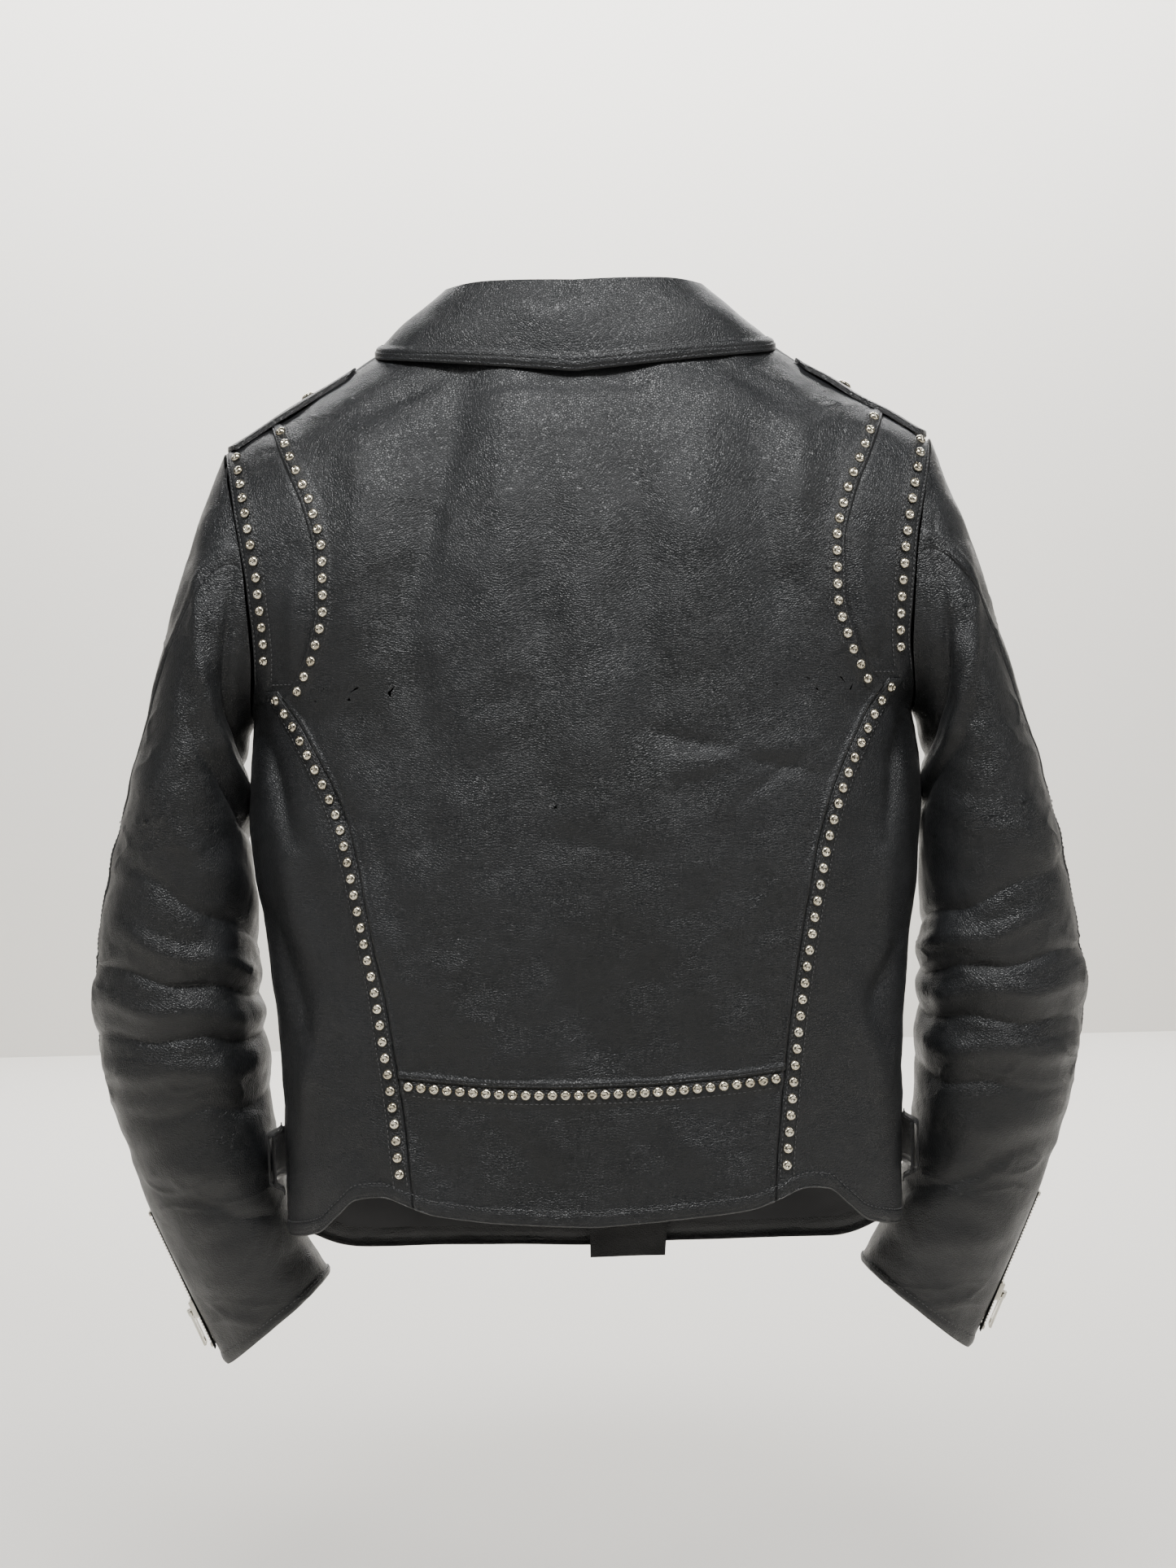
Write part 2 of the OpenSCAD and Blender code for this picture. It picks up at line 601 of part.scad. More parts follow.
from_loop() hang_loop();
from_loop() epaulette(false);  // epaulette_left
from_loop() epaulette(true);  // epaulette_right
from_loop() epaulette_snaps(false);  // epaulette_snaps_left
from_loop() epaulette_snaps(true);  // epaulette_snaps_right
from_loop() lapel_snaps();
from_loop() studs_outer();
from_loop() studs_inner(false);  // studs_inner_left
from_loop() studs_inner(true);  // studs_inner_right
from_loop() studs_lower(false);  // studs_lower_left
from_loop() studs_lower(true);  // studs_lower_right
from_loop() studs_waist();
from_loop() belt_left();
from_loop() belt_right();
from_loop() belt_loop(false);  // belt_loop_left
from_loop() belt_loop(true);  // belt_loop_right
from_loop() buckle_frame();
from_loop() buckle_prong();
from_loop() main_zip_chain();
from_loop() main_zip_slider();
from_loop() main_zip_pull();
from_loop() chest_zip_chain();
from_loop() chest_zip_slider();
from_loop() chest_zip_pull();
from_loop() hand_zip(false, "chain");  // hand_zip_chain_left
from_loop() hand_zip(false, "slider");  // hand_zip_slider_left
from_loop() hand_zip(false, "pull");  // hand_zip_pull_left
from_loop() hand_zip(true, "chain");  // hand_zip_chain_right
from_loop() hand_zip(true, "slider");  // hand_zip_slider_right
from_loop() hand_zip(true, "pull");  // hand_zip_pull_right
from_loop() cuff_zip_chain(false);  // cuff_zip_chain_left
from_loop() cuff_zip_slider(false);  // cuff_zip_slider_left
from_loop() cuff_zip_pull(false);  // cuff_zip_pull_left
from_loop() cuff_zip_chain(true);  // cuff_zip_chain_right
from_loop() cuff_zip_slider(true);  // cuff_zip_slider_right
from_loop() cuff_zip_pull(true);  // cuff_zip_pull_right
from_loop() coin_flap();
from_loop() coin_snap();
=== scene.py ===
import json
import math
import bmesh
import bpy
import numpy as np
from mathutils import Matrix, Vector


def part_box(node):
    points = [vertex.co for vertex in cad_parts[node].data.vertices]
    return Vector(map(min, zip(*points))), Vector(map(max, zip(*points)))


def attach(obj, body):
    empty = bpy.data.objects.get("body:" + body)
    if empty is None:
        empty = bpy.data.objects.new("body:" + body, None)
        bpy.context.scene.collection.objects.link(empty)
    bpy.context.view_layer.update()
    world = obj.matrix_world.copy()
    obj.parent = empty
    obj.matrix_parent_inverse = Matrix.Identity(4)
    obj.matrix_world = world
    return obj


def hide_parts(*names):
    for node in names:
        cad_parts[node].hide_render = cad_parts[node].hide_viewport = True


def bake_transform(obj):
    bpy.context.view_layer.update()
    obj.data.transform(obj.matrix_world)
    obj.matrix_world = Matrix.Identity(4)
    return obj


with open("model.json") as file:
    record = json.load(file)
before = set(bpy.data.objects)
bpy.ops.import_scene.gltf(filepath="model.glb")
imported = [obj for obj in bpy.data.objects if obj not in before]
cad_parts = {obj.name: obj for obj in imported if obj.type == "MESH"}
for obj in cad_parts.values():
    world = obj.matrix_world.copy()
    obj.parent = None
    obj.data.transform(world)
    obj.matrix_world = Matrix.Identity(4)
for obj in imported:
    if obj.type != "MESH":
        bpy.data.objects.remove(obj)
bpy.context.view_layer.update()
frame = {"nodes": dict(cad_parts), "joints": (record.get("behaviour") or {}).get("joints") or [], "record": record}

print("frame loaded")

# Every shape below is worked out in millimetres about the jacket's own middle plane, then moved to the frame
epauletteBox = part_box("epaulette_right")
middleY = (epauletteBox[0][1] + epauletteBox[1][1]) / 2
perMetre = 1000.0


def smoothCurve(points):
    points = sorted(points)
    xs = np.array([p[0] for p in points], float)
    ys = np.array([p[1] for p in points], float)
    steps = np.diff(xs)
    slopes = np.diff(ys) / steps
    tangents = np.zeros(len(xs))
    tangents[0], tangents[-1] = slopes[0], slopes[-1]
    for i in range(1, len(steps)):
        if slopes[i - 1] * slopes[i] > 0:
            tangents[i] = 2 / (1 / slopes[i - 1] + 1 / slopes[i])

    def read(x):
        x = np.clip(x, xs[0], xs[-1])
        i = np.clip(np.searchsorted(xs, x, side="right") - 1, 0, len(steps) - 1)
        t = (x - xs[i]) / steps[i]
        return ((2 * t**3 - 3 * t**2 + 1) * ys[i] + (t**3 - 2 * t**2 + t) * steps[i] * tangents[i]
                + (3 * t**2 - 2 * t**3) * ys[i + 1] + (t**3 - t**2) * steps[i] * tangents[i + 1])
    return read


def smoothStep(x, low, high):
    t = np.clip((x - low) / (high - low), 0, 1)
    return t * t * (3 - 2 * t)


# The body's shape: half widths, heights and radii, and the waist seam's sag at a distance from the middle
body = {
    "shoulderHalfW": 241, "shoulderZ": -66, "neckHalfW": 85, "neckSideZ": 27,
    "armholeRz": 92, "armholeRy": 62, "leatherT": 1.6, "sideU": 82, "waistZ": -494,
    "waistSag": 7, "waistSagX": 124, "seamFromRow": 6, "gussetFootZ": -234,
}
shoulderZ = body["shoulderZ"]
armholeZ = shoulderZ - body["armholeRz"]
armpitZ = shoulderZ - 2 * body["armholeRz"]
armX = smoothCurve([(armpitZ, 226), (-205, 220), (-160, 222), (-115, 229), (shoulderZ, 241)])
squareness = smoothCurve([(-130, 2.4), (shoulderZ, 2.05), (0, 2)])
backY = smoothCurve([(-600, 86), (-500, 84), (-300, 92), (-150, 88), (shoulderZ, 76), (0, 52), (27, 40)])
frontY = smoothCurve([(-110, 88), (shoulderZ, 78), (0, 56), (27, 40)])
lowerHalfX = smoothCurve([(-600, 210), (-460, 214), (-400, 220), (-345, 227), (-300, 230), (armpitZ, 226)])
hemZ = smoothCurve([(0, -585), (25, -577), (38, -565), (44, -567), (50, -578), (58, -591), (75, -598),
                    (100, -603), (130, -624), (180, -632)])
neckZ = smoothCurve([(0, -2), (45, 8), (90, 27), (120, 0), (150, -70), (180, -140)])
outerRowX = smoothCurve([(-222, 213), (-205, 211), (-160, 213), (-115, 220), (shoulderZ, 232)])
innerRowX = smoothCurve([(-237, 191), (-208, 176), (-175, 168), (-145, 168), (-110, 176), (-78, 190),
                         (-50, 202), (-42, 206)])
lowerRowX = smoothCurve([(-600, 123), (-552, 126), (-456, 137), (-400, 146), (-340, 158), (-312, 166),
                         (-284, 178), (-256, 193), (-228, 212)])


def halfX(z, depth):
    z = np.asarray(z, float)
    armY = body["armholeRy"] * np.sqrt(np.clip(1 - ((z - armholeZ) / body["armholeRz"])**2, 0, None))
    n = squareness(z)
    bulge = np.clip(1 - (armY / depth)**n, 0.05, None)**(1 / n)
    slope = (z - shoulderZ) / (body["neckSideZ"] - shoulderZ)
    upper = body["shoulderHalfW"] + (body["neckHalfW"] - body["shoulderHalfW"]) * slope
    return np.where(z >= shoulderZ, upper, np.where(z > armpitZ, armX(z) / bulge, lowerHalfX(z)))


def torso(u, z):
    u, z = np.broadcast_arrays(np.asarray(u, float), np.asarray(z, float))
    s, c = np.sin(np.radians(u)), np.cos(np.radians(u))
    depth = np.where(c > 0, backY(z), frontY(z))
    m = 2 / squareness(z)
    x = halfX(z, depth) * np.sign(s) * np.abs(s)**m
    y = -depth * np.sign(c) * np.abs(c)**m
    return np.stack([x, y, z], -1)


def wrapped(angle):
    return (angle + 180) % 360 - 180


def hemAt(u):
    return hemZ(np.abs(u))


def neckAt(u):
    return neckZ(np.abs(u))


# The left front is measured back from a full turn, and past the middle its edges keep their middle height
def leftHemAt(u):
    return hemZ(360 - u)


def leftNeckAt(u):
    return neckZ(360 - u)


def unit(v):
    return v / np.maximum(np.linalg.norm(v, axis=-1, keepdims=True), 1e-9)


def torsoNormal(u, z):
    e = 2.0
    return unit(np.cross(torso(u + e, z) - torso(u - e, z), torso(u, z + e) - torso(u, z - e)))


def angleAt(x, depth, z):
    return np.degrees(np.arcsin(np.clip(np.abs(x) / halfX(z, depth), 0, 1)**(squareness(z) / 2)))


def backU(x, z):
    return np.sign(x) * angleAt(x, backY(z), z)


def frontU(x, z):
    return np.where(x < 0, 180 + angleAt(x, frontY(z), z), 180 - angleAt(x, frontY(z), z))


# Leather that has been worn and hung: folds as ridges and hollows between two spots, x and z in mm
folds = {
    "bodyGain": 2.3, "sleeveGain": 1.45,
    "back": [
        (-74, -30, -112, -185, 20, -3.4), (-112, -185, -100, -330, 24, -1.8), (-40, -40, -58, -250, 18, 2.2),
        (-140, -70, -150, -210, 16, 1.8), (0, -40, 5, -400, 20, 2.2), (34, -60, 52, -300, 17, -2.0),
        (84, -44, 66, -200, 22, 2.0), (118, -70, 128, -190, 18, -1.8), (150, -66, 140, -150, 14, 1.6),
        (-150, -330, -128, -420, 10, 1.8), (-170, -290, -150, -350, 9, -1.6), (35, -262, 158, -296, 7, -1.1),
        (58, -288, 150, -272, 6, 0.9), (100, -310, 140, -286, 5, -0.7), (-30, -330, 40, -345, 16, -0.9),
        (-110, -420, -60, -470, 22, 1.3), (80, -420, 100, -485, 18, 1.2), (-20, -420, 10, -490, 20, -1.0),
        (-186, -150, -192, -215, 6, 0.9), (184, -140, 190, -210, 6, 0.9),
        (-215, -262, -196, -330, 9, -3.0), (-206, -300, -190, -400, 12, 2.4),
        (-214, -380, -186, -470, 10, -2.0), (-180, -440, -196, -520, 9, 1.6),
        (214, -262, 200, -340, 9, -2.8), (206, -300, 196, -410, 12, 2.2),
        (212, -400, 188, -455, 9, -2.0), (176, -430, 192, -500, 9, 1.5), (-150, -520, -110, -560, 12, 1.0),
        (-60, -520, -20, -566, 16, -0.8), (40, -516, 90, -556, 14, 1.0),
        (-150, -52, -90, -24, 10, -1.4), (150, -52, 96, -22, 10, -1.4), (-60, -34, 50, -32, 8, -0.9),
    ],
    "front": [
        (-150, -130, -110, -260, 18, -2.2), (150, -130, 120, -280, 18, -2.2), (-60, -200, -50, -380, 22, 1.6),
        (110, -220, 100, -420, 22, 1.8), (-190, -290, -150, -380, 12, -2.4), (190, -290, 150, -380, 12, -2.4),
        (-170, -420, -110, -520, 16, 1.6), (170, -420, 120, -530, 16, 1.6), (-40, -470, 10, -580, 18, -1.2),
        (60, -560, 150, -590, 12, 1.2), (-150, -570, -60, -600, 12, 1.0),
    ],
}


# The fronts lie flat round these zips: hand pockets and chest pocket, lower end then upper end
pocketZips = [(160, -500, 116, -380), (-160, -500, -116, -380), (-140, -230, -66, -192)]


def nearSegment(x, z, x0, z0, x1, z1):
    dx, dz = x1 - x0, z1 - z0
    t = np.clip(((x - x0) * dx + (z - z0) * dz) / (dx * dx + dz * dz), 0, 1)
    return t, np.hypot(x - x0 - t * dx, z - z0 - t * dz)


def foldShape(away, width, height):
    # A ridge is round, and a hollow is pinched
    if height > 0:
        return np.exp(-(away / width)**2)
    return np.exp(1 - np.sqrt(1 + (2.2 * away / width)**2))


def ridge(x, z, fold):
    *ends, width, height = fold
    t, away = nearSegment(x, z, *ends)
    fade = 0.45 + 0.55 * np.sin(np.pi * np.clip(t, 0.02, 0.98))
    return folds["bodyGain"] * height * fade * foldShape(away, width, height)


def crumple(points, wavelength, seed, waves=9):
    draw = np.random.default_rng(seed)
    total = 0
    for _ in range(waves):
        way = unit(draw.normal(size=3)) * 2 * math.pi / (wavelength * draw.uniform(0.7, 1.5))
        total = total + np.sin(points @ way + draw.uniform(0, 2 * math.pi))
    return total / math.sqrt(waves)


def wrinkles(points, wavelength, seed, height):
    # Thin raised lines where two soft waves cross zero, as creased leather has
    wave = crumple(points, wavelength, seed)
    patch = smoothStep(crumple(points, wavelength * 3, seed + 50), -0.2, 1.0)
    return height * patch * (np.exp(-(wave / 0.16)**2) - 0.25)


def bodyFolds(points, onBack):
    x, z = points[..., 0], points[..., 2]
    back = sum(ridge(x, z, fold) for fold in folds["back"])
    front = sum(ridge(x, z, fold) for fold in folds["front"])
    upright = points * np.array([1, 1, 0.22])
    worn = 1.3 * crumple(upright, 70, 3) + 0.5 * crumple(points, 44, 4) + 0.12 * crumple(points, 14, 5)
    worn = worn + wrinkles(points * np.array([1, 1, 0.6]), 42, 6, 0.5)
    away = np.min([nearSegment(x, z, *line)[1] for line in pocketZips], axis=0)
    calm = 1 - np.exp(-(away / 17)**4)
    return np.where(onBack, back + worn, (front + worn) * calm)


def bodyPoint(u, z, off=0.0):
    base = torso(u, z)
    onBack = np.cos(np.radians(u)) > 0
    lift = bodyFolds(base, onBack) + off
    return base + torsoNormal(u, z) * np.asarray(lift)[..., None]


def toFrame(points):
    return np.asarray(points) / perMetre + np.array([0, middleY, 0])


# The sleeves' shape: rings from an outer to an inner point, armhole 0 to cuff 9
outerX = smoothCurve([(0, 241), (1, 263), (2, 291), (3, 316), (4, 334), (5, 343), (6, 337), (7, 320),
                      (8, 292), (9, 264)])
outerZ = smoothCurve([(0, -66), (1, -122), (2, -216), (3, -305), (4, -382), (5, -445), (6, -503), (7, -564),
                      (8, -638), (9, -704)])
innerX = smoothCurve([(0, 227), (1, 232), (2, 233), (3, 231), (4, 229), (5, 228), (6, 225), (7, 217),
                      (8, 205), (9, 190)])
innerZ = smoothCurve([(0, armpitZ), (1, -264), (2, -292), (3, -340), (4, -395), (5, -450), (6, -515),
                      (7, -576), (8, -615), (9, -642)])
sleeveDepth = smoothCurve([(0, 62), (1, 68), (2, 70), (3, 68), (5, 62), (7, 50), (9, 40)])
sleeveForward = smoothCurve([(0, 0), (2, 3), (4, 10), (6, 26), (8, 50), (9, 62)])
backSeamV = smoothCurve([(0, 88), (1, 66), (2, 40), (3, 20), (5, 8), (9, 4)])
innerSeamV = smoothCurve([(0, 195), (2, 185), (4, 160), (9, 150)])

# Sleeve folds: place along the sleeve, place round it (degrees), slant, length round, width, height in mm
sleeveFolds = {
    "right": [
        (1.3, 150, 0.9, 60, 0.22, -4.5), (1.9, 130, 0.8, 70, 0.25, 3.2), (2.4, 165, 0.7, 60, 0.2, -3.0),
        (3.1, 100, -0.5, 60, 0.3, 2.0), (3.9, 140, 0.25, 70, 0.12, -2.6), (4.25, 130, 0.2, 75, 0.12, 2.6),
        (4.6, 120, 0.1, 80, 0.11, -3.0), (4.9, 110, 0.0, 80, 0.12, 2.6), (5.2, 125, -0.1, 80, 0.11, -2.8),
        (5.55, 110, -0.15, 80, 0.13, 2.4), (5.9, 120, -0.25, 70, 0.12, -2.2), (6.4, 90, -0.4, 60, 0.2, 1.8),
        (7.0, 110, 0.5, 60, 0.22, -1.8), (7.8, 80, 0.6, 50, 0.25, 1.5), (4.4, 300, 0.2, 60, 0.15, -2.5),
        (4.9, 290, 0.0, 70, 0.14, 2.4), (5.4, 300, -0.2, 70, 0.15, -2.6), (6.0, 290, -0.3, 60, 0.18, 2.0),
    ],
    "left": [
        (1.2, 155, 1.0, 60, 0.2, -4.5), (1.8, 140, 0.9, 75, 0.24, 3.4), (2.5, 160, 0.8, 60, 0.18, -3.2),
        (3.2, 120, 0.6, 70, 0.25, 2.2), (3.8, 130, 0.45, 75, 0.14, -2.6), (4.3, 120, 0.3, 80, 0.12, 2.8),
        (4.65, 125, 0.2, 80, 0.11, -3.2), (4.95, 115, 0.12, 85, 0.12, 2.8), (5.25, 120, 0.0, 85, 0.11, -3.0),
        (5.6, 110, -0.1, 80, 0.13, 2.2), (6.0, 130, -0.2, 70, 0.14, -2.2), (6.7, 100, -0.3, 60, 0.2, 1.8),
        (7.3, 120, 0.4, 60, 0.2, -1.6), (4.5, 295, 0.2, 60, 0.15, -2.5), (5.0, 300, 0.0, 70, 0.14, 2.4),
        (5.5, 290, -0.2, 70, 0.15, -2.6),
    ],
}


def sleeveBase(s, v):
    s, v = np.broadcast_arrays(np.asarray(s, float), np.asarray(v, float))
    c, n = np.cos(np.radians(v)), np.sin(np.radians(v))
    ox, oz, ix, iz = outerX(s), outerZ(s), innerX(s), innerZ(s)
    y = sleeveForward(s) - sleeveDepth(s) * n
    ring = np.stack([(ox + ix) / 2 + (ox - ix) / 2 * c, y, (oz + iz) / 2 + (oz - iz) / 2 * c], -1)
    holeZ = armholeZ + body["armholeRz"] * c
    hole = np.stack([armX(holeZ) + 0.5, -body["armholeRy"] * n, holeZ], -1)
    t = np.clip(s, 0, 1)[..., None]
    t = t * t * (3 - 2 * t) * 0.5 + t * 0.5
    return hole * (1 - t) + ring * t


def sleeveNormal(s, v):
    ds, dv = 0.08, 3.0
    across = sleeveBase(s, v + dv) - sleeveBase(s, v - dv)
    along = sleeveBase(np.minimum(9, s + ds), v) - sleeveBase(np.maximum(0, s - ds), v)
    return unit(np.cross(across, along))


def sleevePoint(side, s, v, off=0.0):
    base = sleeveBase(s, v)
    lift = off + 0.9 * crumple(base * (1 if side == "right" else -1), 80, 11) * np.clip(s, 0, 1)
    lift = lift + 0.5 * crumple(base, 30, 12) * np.clip(s, 0, 1) + 0.12 * crumple(base, 12, 13)
    lift = lift + wrinkles(base * np.array([0.7, 0.7, 1.3]), 34, 14, 0.9) * np.clip(s, 0, 1)
    for place, turn, slant, length, width, height in sleeveFolds[side]:
        about = wrapped(np.asarray(v) - turn)
        along = np.asarray(s) - place - slant * about / 90 + 0.04 * np.sin(np.radians(about * 5 + place * 90))
        shape = foldShape(along, width, height) * np.exp(-(about / length)**2)
        lift = lift + folds["sleeveGain"] * height * shape
    # The leather lies flat and a little proud where the cuff zip is let in
    byZip = np.exp(-(wrapped(np.asarray(v) - backSeamV(s)) / 30)**4) * smoothStep(s, 6.8, 7.3)
    lift = mixed(lift, off + 2.0, byZip)
    fade = np.clip(np.asarray(s) / 0.5, 0, 1)
    points = base + sleeveNormal(s, v) * np.asarray(off + (lift - off) * fade)[..., None]
    return points if side == "right" else points * np.array([-1, 1, 1])


# Collar: the stand rises from the neck seam and the fall folds over it onto the shoulders
collar = {"endU": 140, "rise": 36, "lift": 4.4, "bulge": 5.0, "fallLength": 66.0}
collarEdgeZ = smoothCurve([(0, -25), (31, -16), (61, -9), (90, -3), (120, -22), (145, -78)])
collarRise = smoothCurve([(0, 0.9), (30, 0.8), (60, 0.5), (90, 0.16), (115, 0.26), (140, 0.3)])
collarDents = [(-40, 0.35, 16, 0.2, -2.2), (-8, 0.3, 14, 0.2, 1.6), (14, 0.5, 12, 0.25, -2.0),
               (40, 0.4, 16, 0.2, 1.5), (66, 0.5, 14, 0.3, -1.6), (-70, 0.5, 12, 0.25, 1.4)]


def standPoint(u, t, off):
    foot = torso(u, neckZ(np.abs(u)) + 5)
    lean = unit(foot * np.array([1, 1, 0]) + np.array([0, 5, 0]))
    rise = collar["rise"] * collarRise(np.abs(u)) * t
    up = np.stack([0 * rise, 0 * rise, rise], -1)
    return foot + up + lean * np.asarray(off + 3.3 - 4.8 * t)[..., None]


def fallPoint(u, t, off):
    top = standPoint(u, 1 + 0 * t, 4.5 + off)
    edgeZ = collarEdgeZ(np.abs(u))
    edge = torso(u, edgeZ) + torsoNormal(u, edgeZ) * np.asarray(collar["lift"] + off + 0 * t)[..., None]
    lean = unit(edge * np.array([1, 1, 0]))
    worn = 0.5 * crumple(edge * (1 - t)[..., None] + top * t[..., None], 45, 21)
    for turn, place, about, along, height in collarDents:
        worn = worn + height * np.exp(-((u - turn) / about)**2 - ((t - place) / along)**2)
    out = collar["bulge"] * np.sin(np.pi * t) + worn * np.sin(np.pi * np.clip(t, 0, 1))
    crown = 2 * (1 - t)**3
    up = np.stack([0 * t, 0 * t, crown], -1)
    return top * (1 - t)[..., None] + edge * t[..., None] + lean * out[..., None] + up


# Materials: each is named for what the real surface is and how it was finished
def fromHex(code):
    parts = [int(code[i:i + 2], 16) / 255 for i in (1, 3, 5)]
    return tuple(c / 12.92 if c <= 0.04045 else ((c + 0.055) / 1.055)**2.4 for c in parts) + (1.0,)


def addNode(material, kind, values=None, links=None, **settings):
    node = material.node_tree.nodes.new(kind)
    for name, value in settings.items():
        setattr(node, name, value)
    for key, value in (values or {}).items():
        node.inputs[key].default_value = value
    for key, source in (links or {}).items():
        material.node_tree.links.new(source, node.inputs[key])
    return node


def newMaterial(name):
    material = bpy.data.materials.new(name)
    material.use_nodes = True
    shader = material.node_tree.nodes["Principled BSDF"]
    place = addNode(material, "ShaderNodeTexCoord")
    return material, shader, place.outputs["Object"]


def ramp(material, source, low, high, lowColour, highColour):
    node = addNode(material, "ShaderNodeValToRGB", links={"Fac": source})
    node.color_ramp.elements[0].position = low
    node.color_ramp.elements[1].position = high
    node.color_ramp.elements[0].color = lowColour
    node.color_ramp.elements[1].color = highColour
    return node.outputs["Color"]


def bump(material, height, strength, distance, under=None):
    links = {"Height": height, "Normal": under} if under else {"Height": height}
    node = addNode(material, "ShaderNodeBump", {"Strength": strength, "Distance": distance}, links)
    return node.outputs["Normal"]


def finish(material, shader, normal, colour, rough=None, values=None):
    link = material.node_tree.links.new
    link(normal, shader.inputs["Normal"])
    link(colour, shader.inputs["Base Color"])
    if rough:
        link(rough, shader.inputs["Roughness"])
    for key, value in (values or {}).items():
        shader.inputs[key].default_value = value
    return material


def milledLeather(name, dark, light, rough, grainMm=1.5):
    # Drum-dyed cowhide, milled soft: fine pebble grain, creased, with a waxed satin face worn shinier in places
    material, shader, place = newMaterial(name)
    cells = addNode(material, "ShaderNodeTexVoronoi", {"Scale": perMetre / grainMm}, {"Vector": place},
                    feature="DISTANCE_TO_EDGE")
    warp = addNode(material, "ShaderNodeTexNoise", {"Scale": 260.0, "Detail": 3.0}, {"Vector": place})
    pores = addNode(material, "ShaderNodeTexNoise", {"Scale": 1500.0, "Detail": 2.0}, {"Vector": place})
    creases = addNode(material, "ShaderNodeTexNoise", {"Scale": 42.0, "Detail": 6.0, "Roughness": 0.62},
                      {"Vector": place})
    patches = addNode(material, "ShaderNodeTexNoise", {"Scale": 9.0, "Detail": 4.0}, {"Vector": place})
    edges = ramp(material, cells.outputs["Distance"], 0.0, 0.22, (0, 0, 0, 1), (1, 1, 1, 1))
    fine = bump(material, pores.outputs["Fac"], 0.32, 0.00012)
    grain = bump(material, edges, 0.6, 0.0003, fine)
    soft = bump(material, warp.outputs["Fac"], 0.3, 0.0009, grain)
    broad = bump(material, creases.outputs["Fac"], 0.35, 0.0018, soft)
    gloss = addNode(material, "ShaderNodeMapRange", {"From Min": 0.3, "From Max": 0.7, "To Min": rough - 0.07,
                                                     "To Max": rough + 0.09},
                    {"Value": creases.outputs["Fac"]})
    colour = ramp(material, patches.outputs["Fac"], 0.35, 0.7, fromHex(dark), fromHex(light))
    return finish(material, shader, broad, colour, gloss.outputs["Result"],
                  {"Specular IOR Level": 0.45, "Sheen Weight": 0.03, "Sheen Roughness": 0.5})


def satinLining(name, colour):
    # Woven viscose satin: fine warp ridges and a soft sheen
    material, shader, place = newMaterial(name)
    weave = addNode(material, "ShaderNodeTexWave", {"Scale": 520.0, "Distortion": 0.6, "Detail": 1.0},
                    {"Vector": place}, wave_type="BANDS", bands_direction="DIAGONAL")
    cloudy = addNode(material, "ShaderNodeTexNoise", {"Scale": 14.0, "Detail": 4.0}, {"Vector": place})
    normal = bump(material, weave.outputs["Fac"], 0.2, 0.0002)
    tint = ramp(material, cloudy.outputs["Fac"], 0.3, 0.7, fromHex(colour), fromHex("#141418"))
    return finish(material, shader, normal, tint, values={"Roughness": 0.5, "Sheen Weight": 0.1})


def platedMetal(name, colour, tarnish, rough):
    # Nickel plate on brass: warm white metal, faint handling marks and duller low spots
    material, shader, place = newMaterial(name)
    marks = addNode(material, "ShaderNodeTexNoise", {"Scale": 700.0, "Detail": 4.0}, {"Vector": place})
    dull = addNode(material, "ShaderNodeTexNoise", {"Scale": 90.0, "Detail": 3.0}, {"Vector": place})
    normal = bump(material, marks.outputs["Fac"], 0.12, 0.0001)
    gloss = addNode(material, "ShaderNodeMapRange", {"To Min": rough * 0.7, "To Max": rough * 1.5},
                    {"Value": marks.outputs["Fac"]})
    tint = ramp(material, dull.outputs["Fac"], 0.35, 0.75, fromHex(colour), fromHex(tarnish))
    return finish(material, shader, normal, tint, gloss.outputs["Result"], {"Metallic": 1.0})


def spunThread(name, colour):
    # Bonded polyester thread, twisted: slightly paler than the leather, with a low sheen; its colour has painted
    # shade in the twist's grooves and a painted highlight on its ridges
    material, shader, place = newMaterial(name)
    twist = addNode(material, "ShaderNodeTexWave", {"Scale": 900.0, "Distortion": 1.0}, {"Vector": place})
    normal = bump(material, twist.outputs["Fac"], 0.4, 0.0002)
    # Painted shade and highlight: the twist wave that makes the bump also darkens the grooves and lightens the
    # ridges
    tint = ramp(material, twist.outputs["Fac"], 0.2, 0.8, fromHex(colour), fromHex("#4a4a4a"))
    return finish(material, shader, normal, tint, values={"Roughness": 0.6})


leather = milledLeather("milled_cowhide_waxed", "#07090b", "#0e1013", 0.42)
sleeveLeather = milledLeather("milled_cowhide_sleeves", "#07090b", "#0d0f12", 0.39)
strapLeather = milledLeather("belt_cowhide_pressed", "#0c0c0d", "#141415", 0.34, grainMm=1.1)
innerLeather = milledLeather("facing_cowhide_matte", "#09090a", "#101011", 0.6)
lining = satinLining("viscose_satin_lining", "#0a0a0d")
studNickel = platedMetal("nickel_plated_stud", "#e6dfcd", "#a9a08c", 0.2)
buckleNickel = platedMetal("nickel_plated_buckle", "#dcd9d0", "#aaa69a", 0.18)
zipMetal = platedMetal("nickel_zip_teeth", "#c4c0b6", "#8c887e", 0.3)
thread = spunThread("bonded_thread_black", "#38383a")
zipTape = satinLining("woven_zip_tape", "#151516")
print("materials made")


# Making pieces
def asMesh(name, bm):
    mesh = bpy.data.meshes.new(name)
    bm.to_mesh(mesh)
    bm.free()
    return mesh


def placeVerts(bm, points):
    for vert, point in zip(bm.verts, points):
        vert.co = point


def makeObject(name, bm, material, rider, smooth=True):
    mesh = asMesh(name, bm)
    for face in mesh.polygons:
        face.use_smooth = smooth
    mesh.materials.append(material)
    piece = bpy.data.objects.new(name, mesh)
    bpy.context.scene.collection.objects.link(piece)
    if rider:
        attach(piece, rider)
    return piece


# Crowds the grid's lines towards both ends of a panel, where its edges curve most
def closeUp(k, ease):
    return k - ease * np.sin(2 * np.pi * k) / (2 * np.pi)


# One row per sheet: name, width, length and area as measured, printed at the end
cutList = []


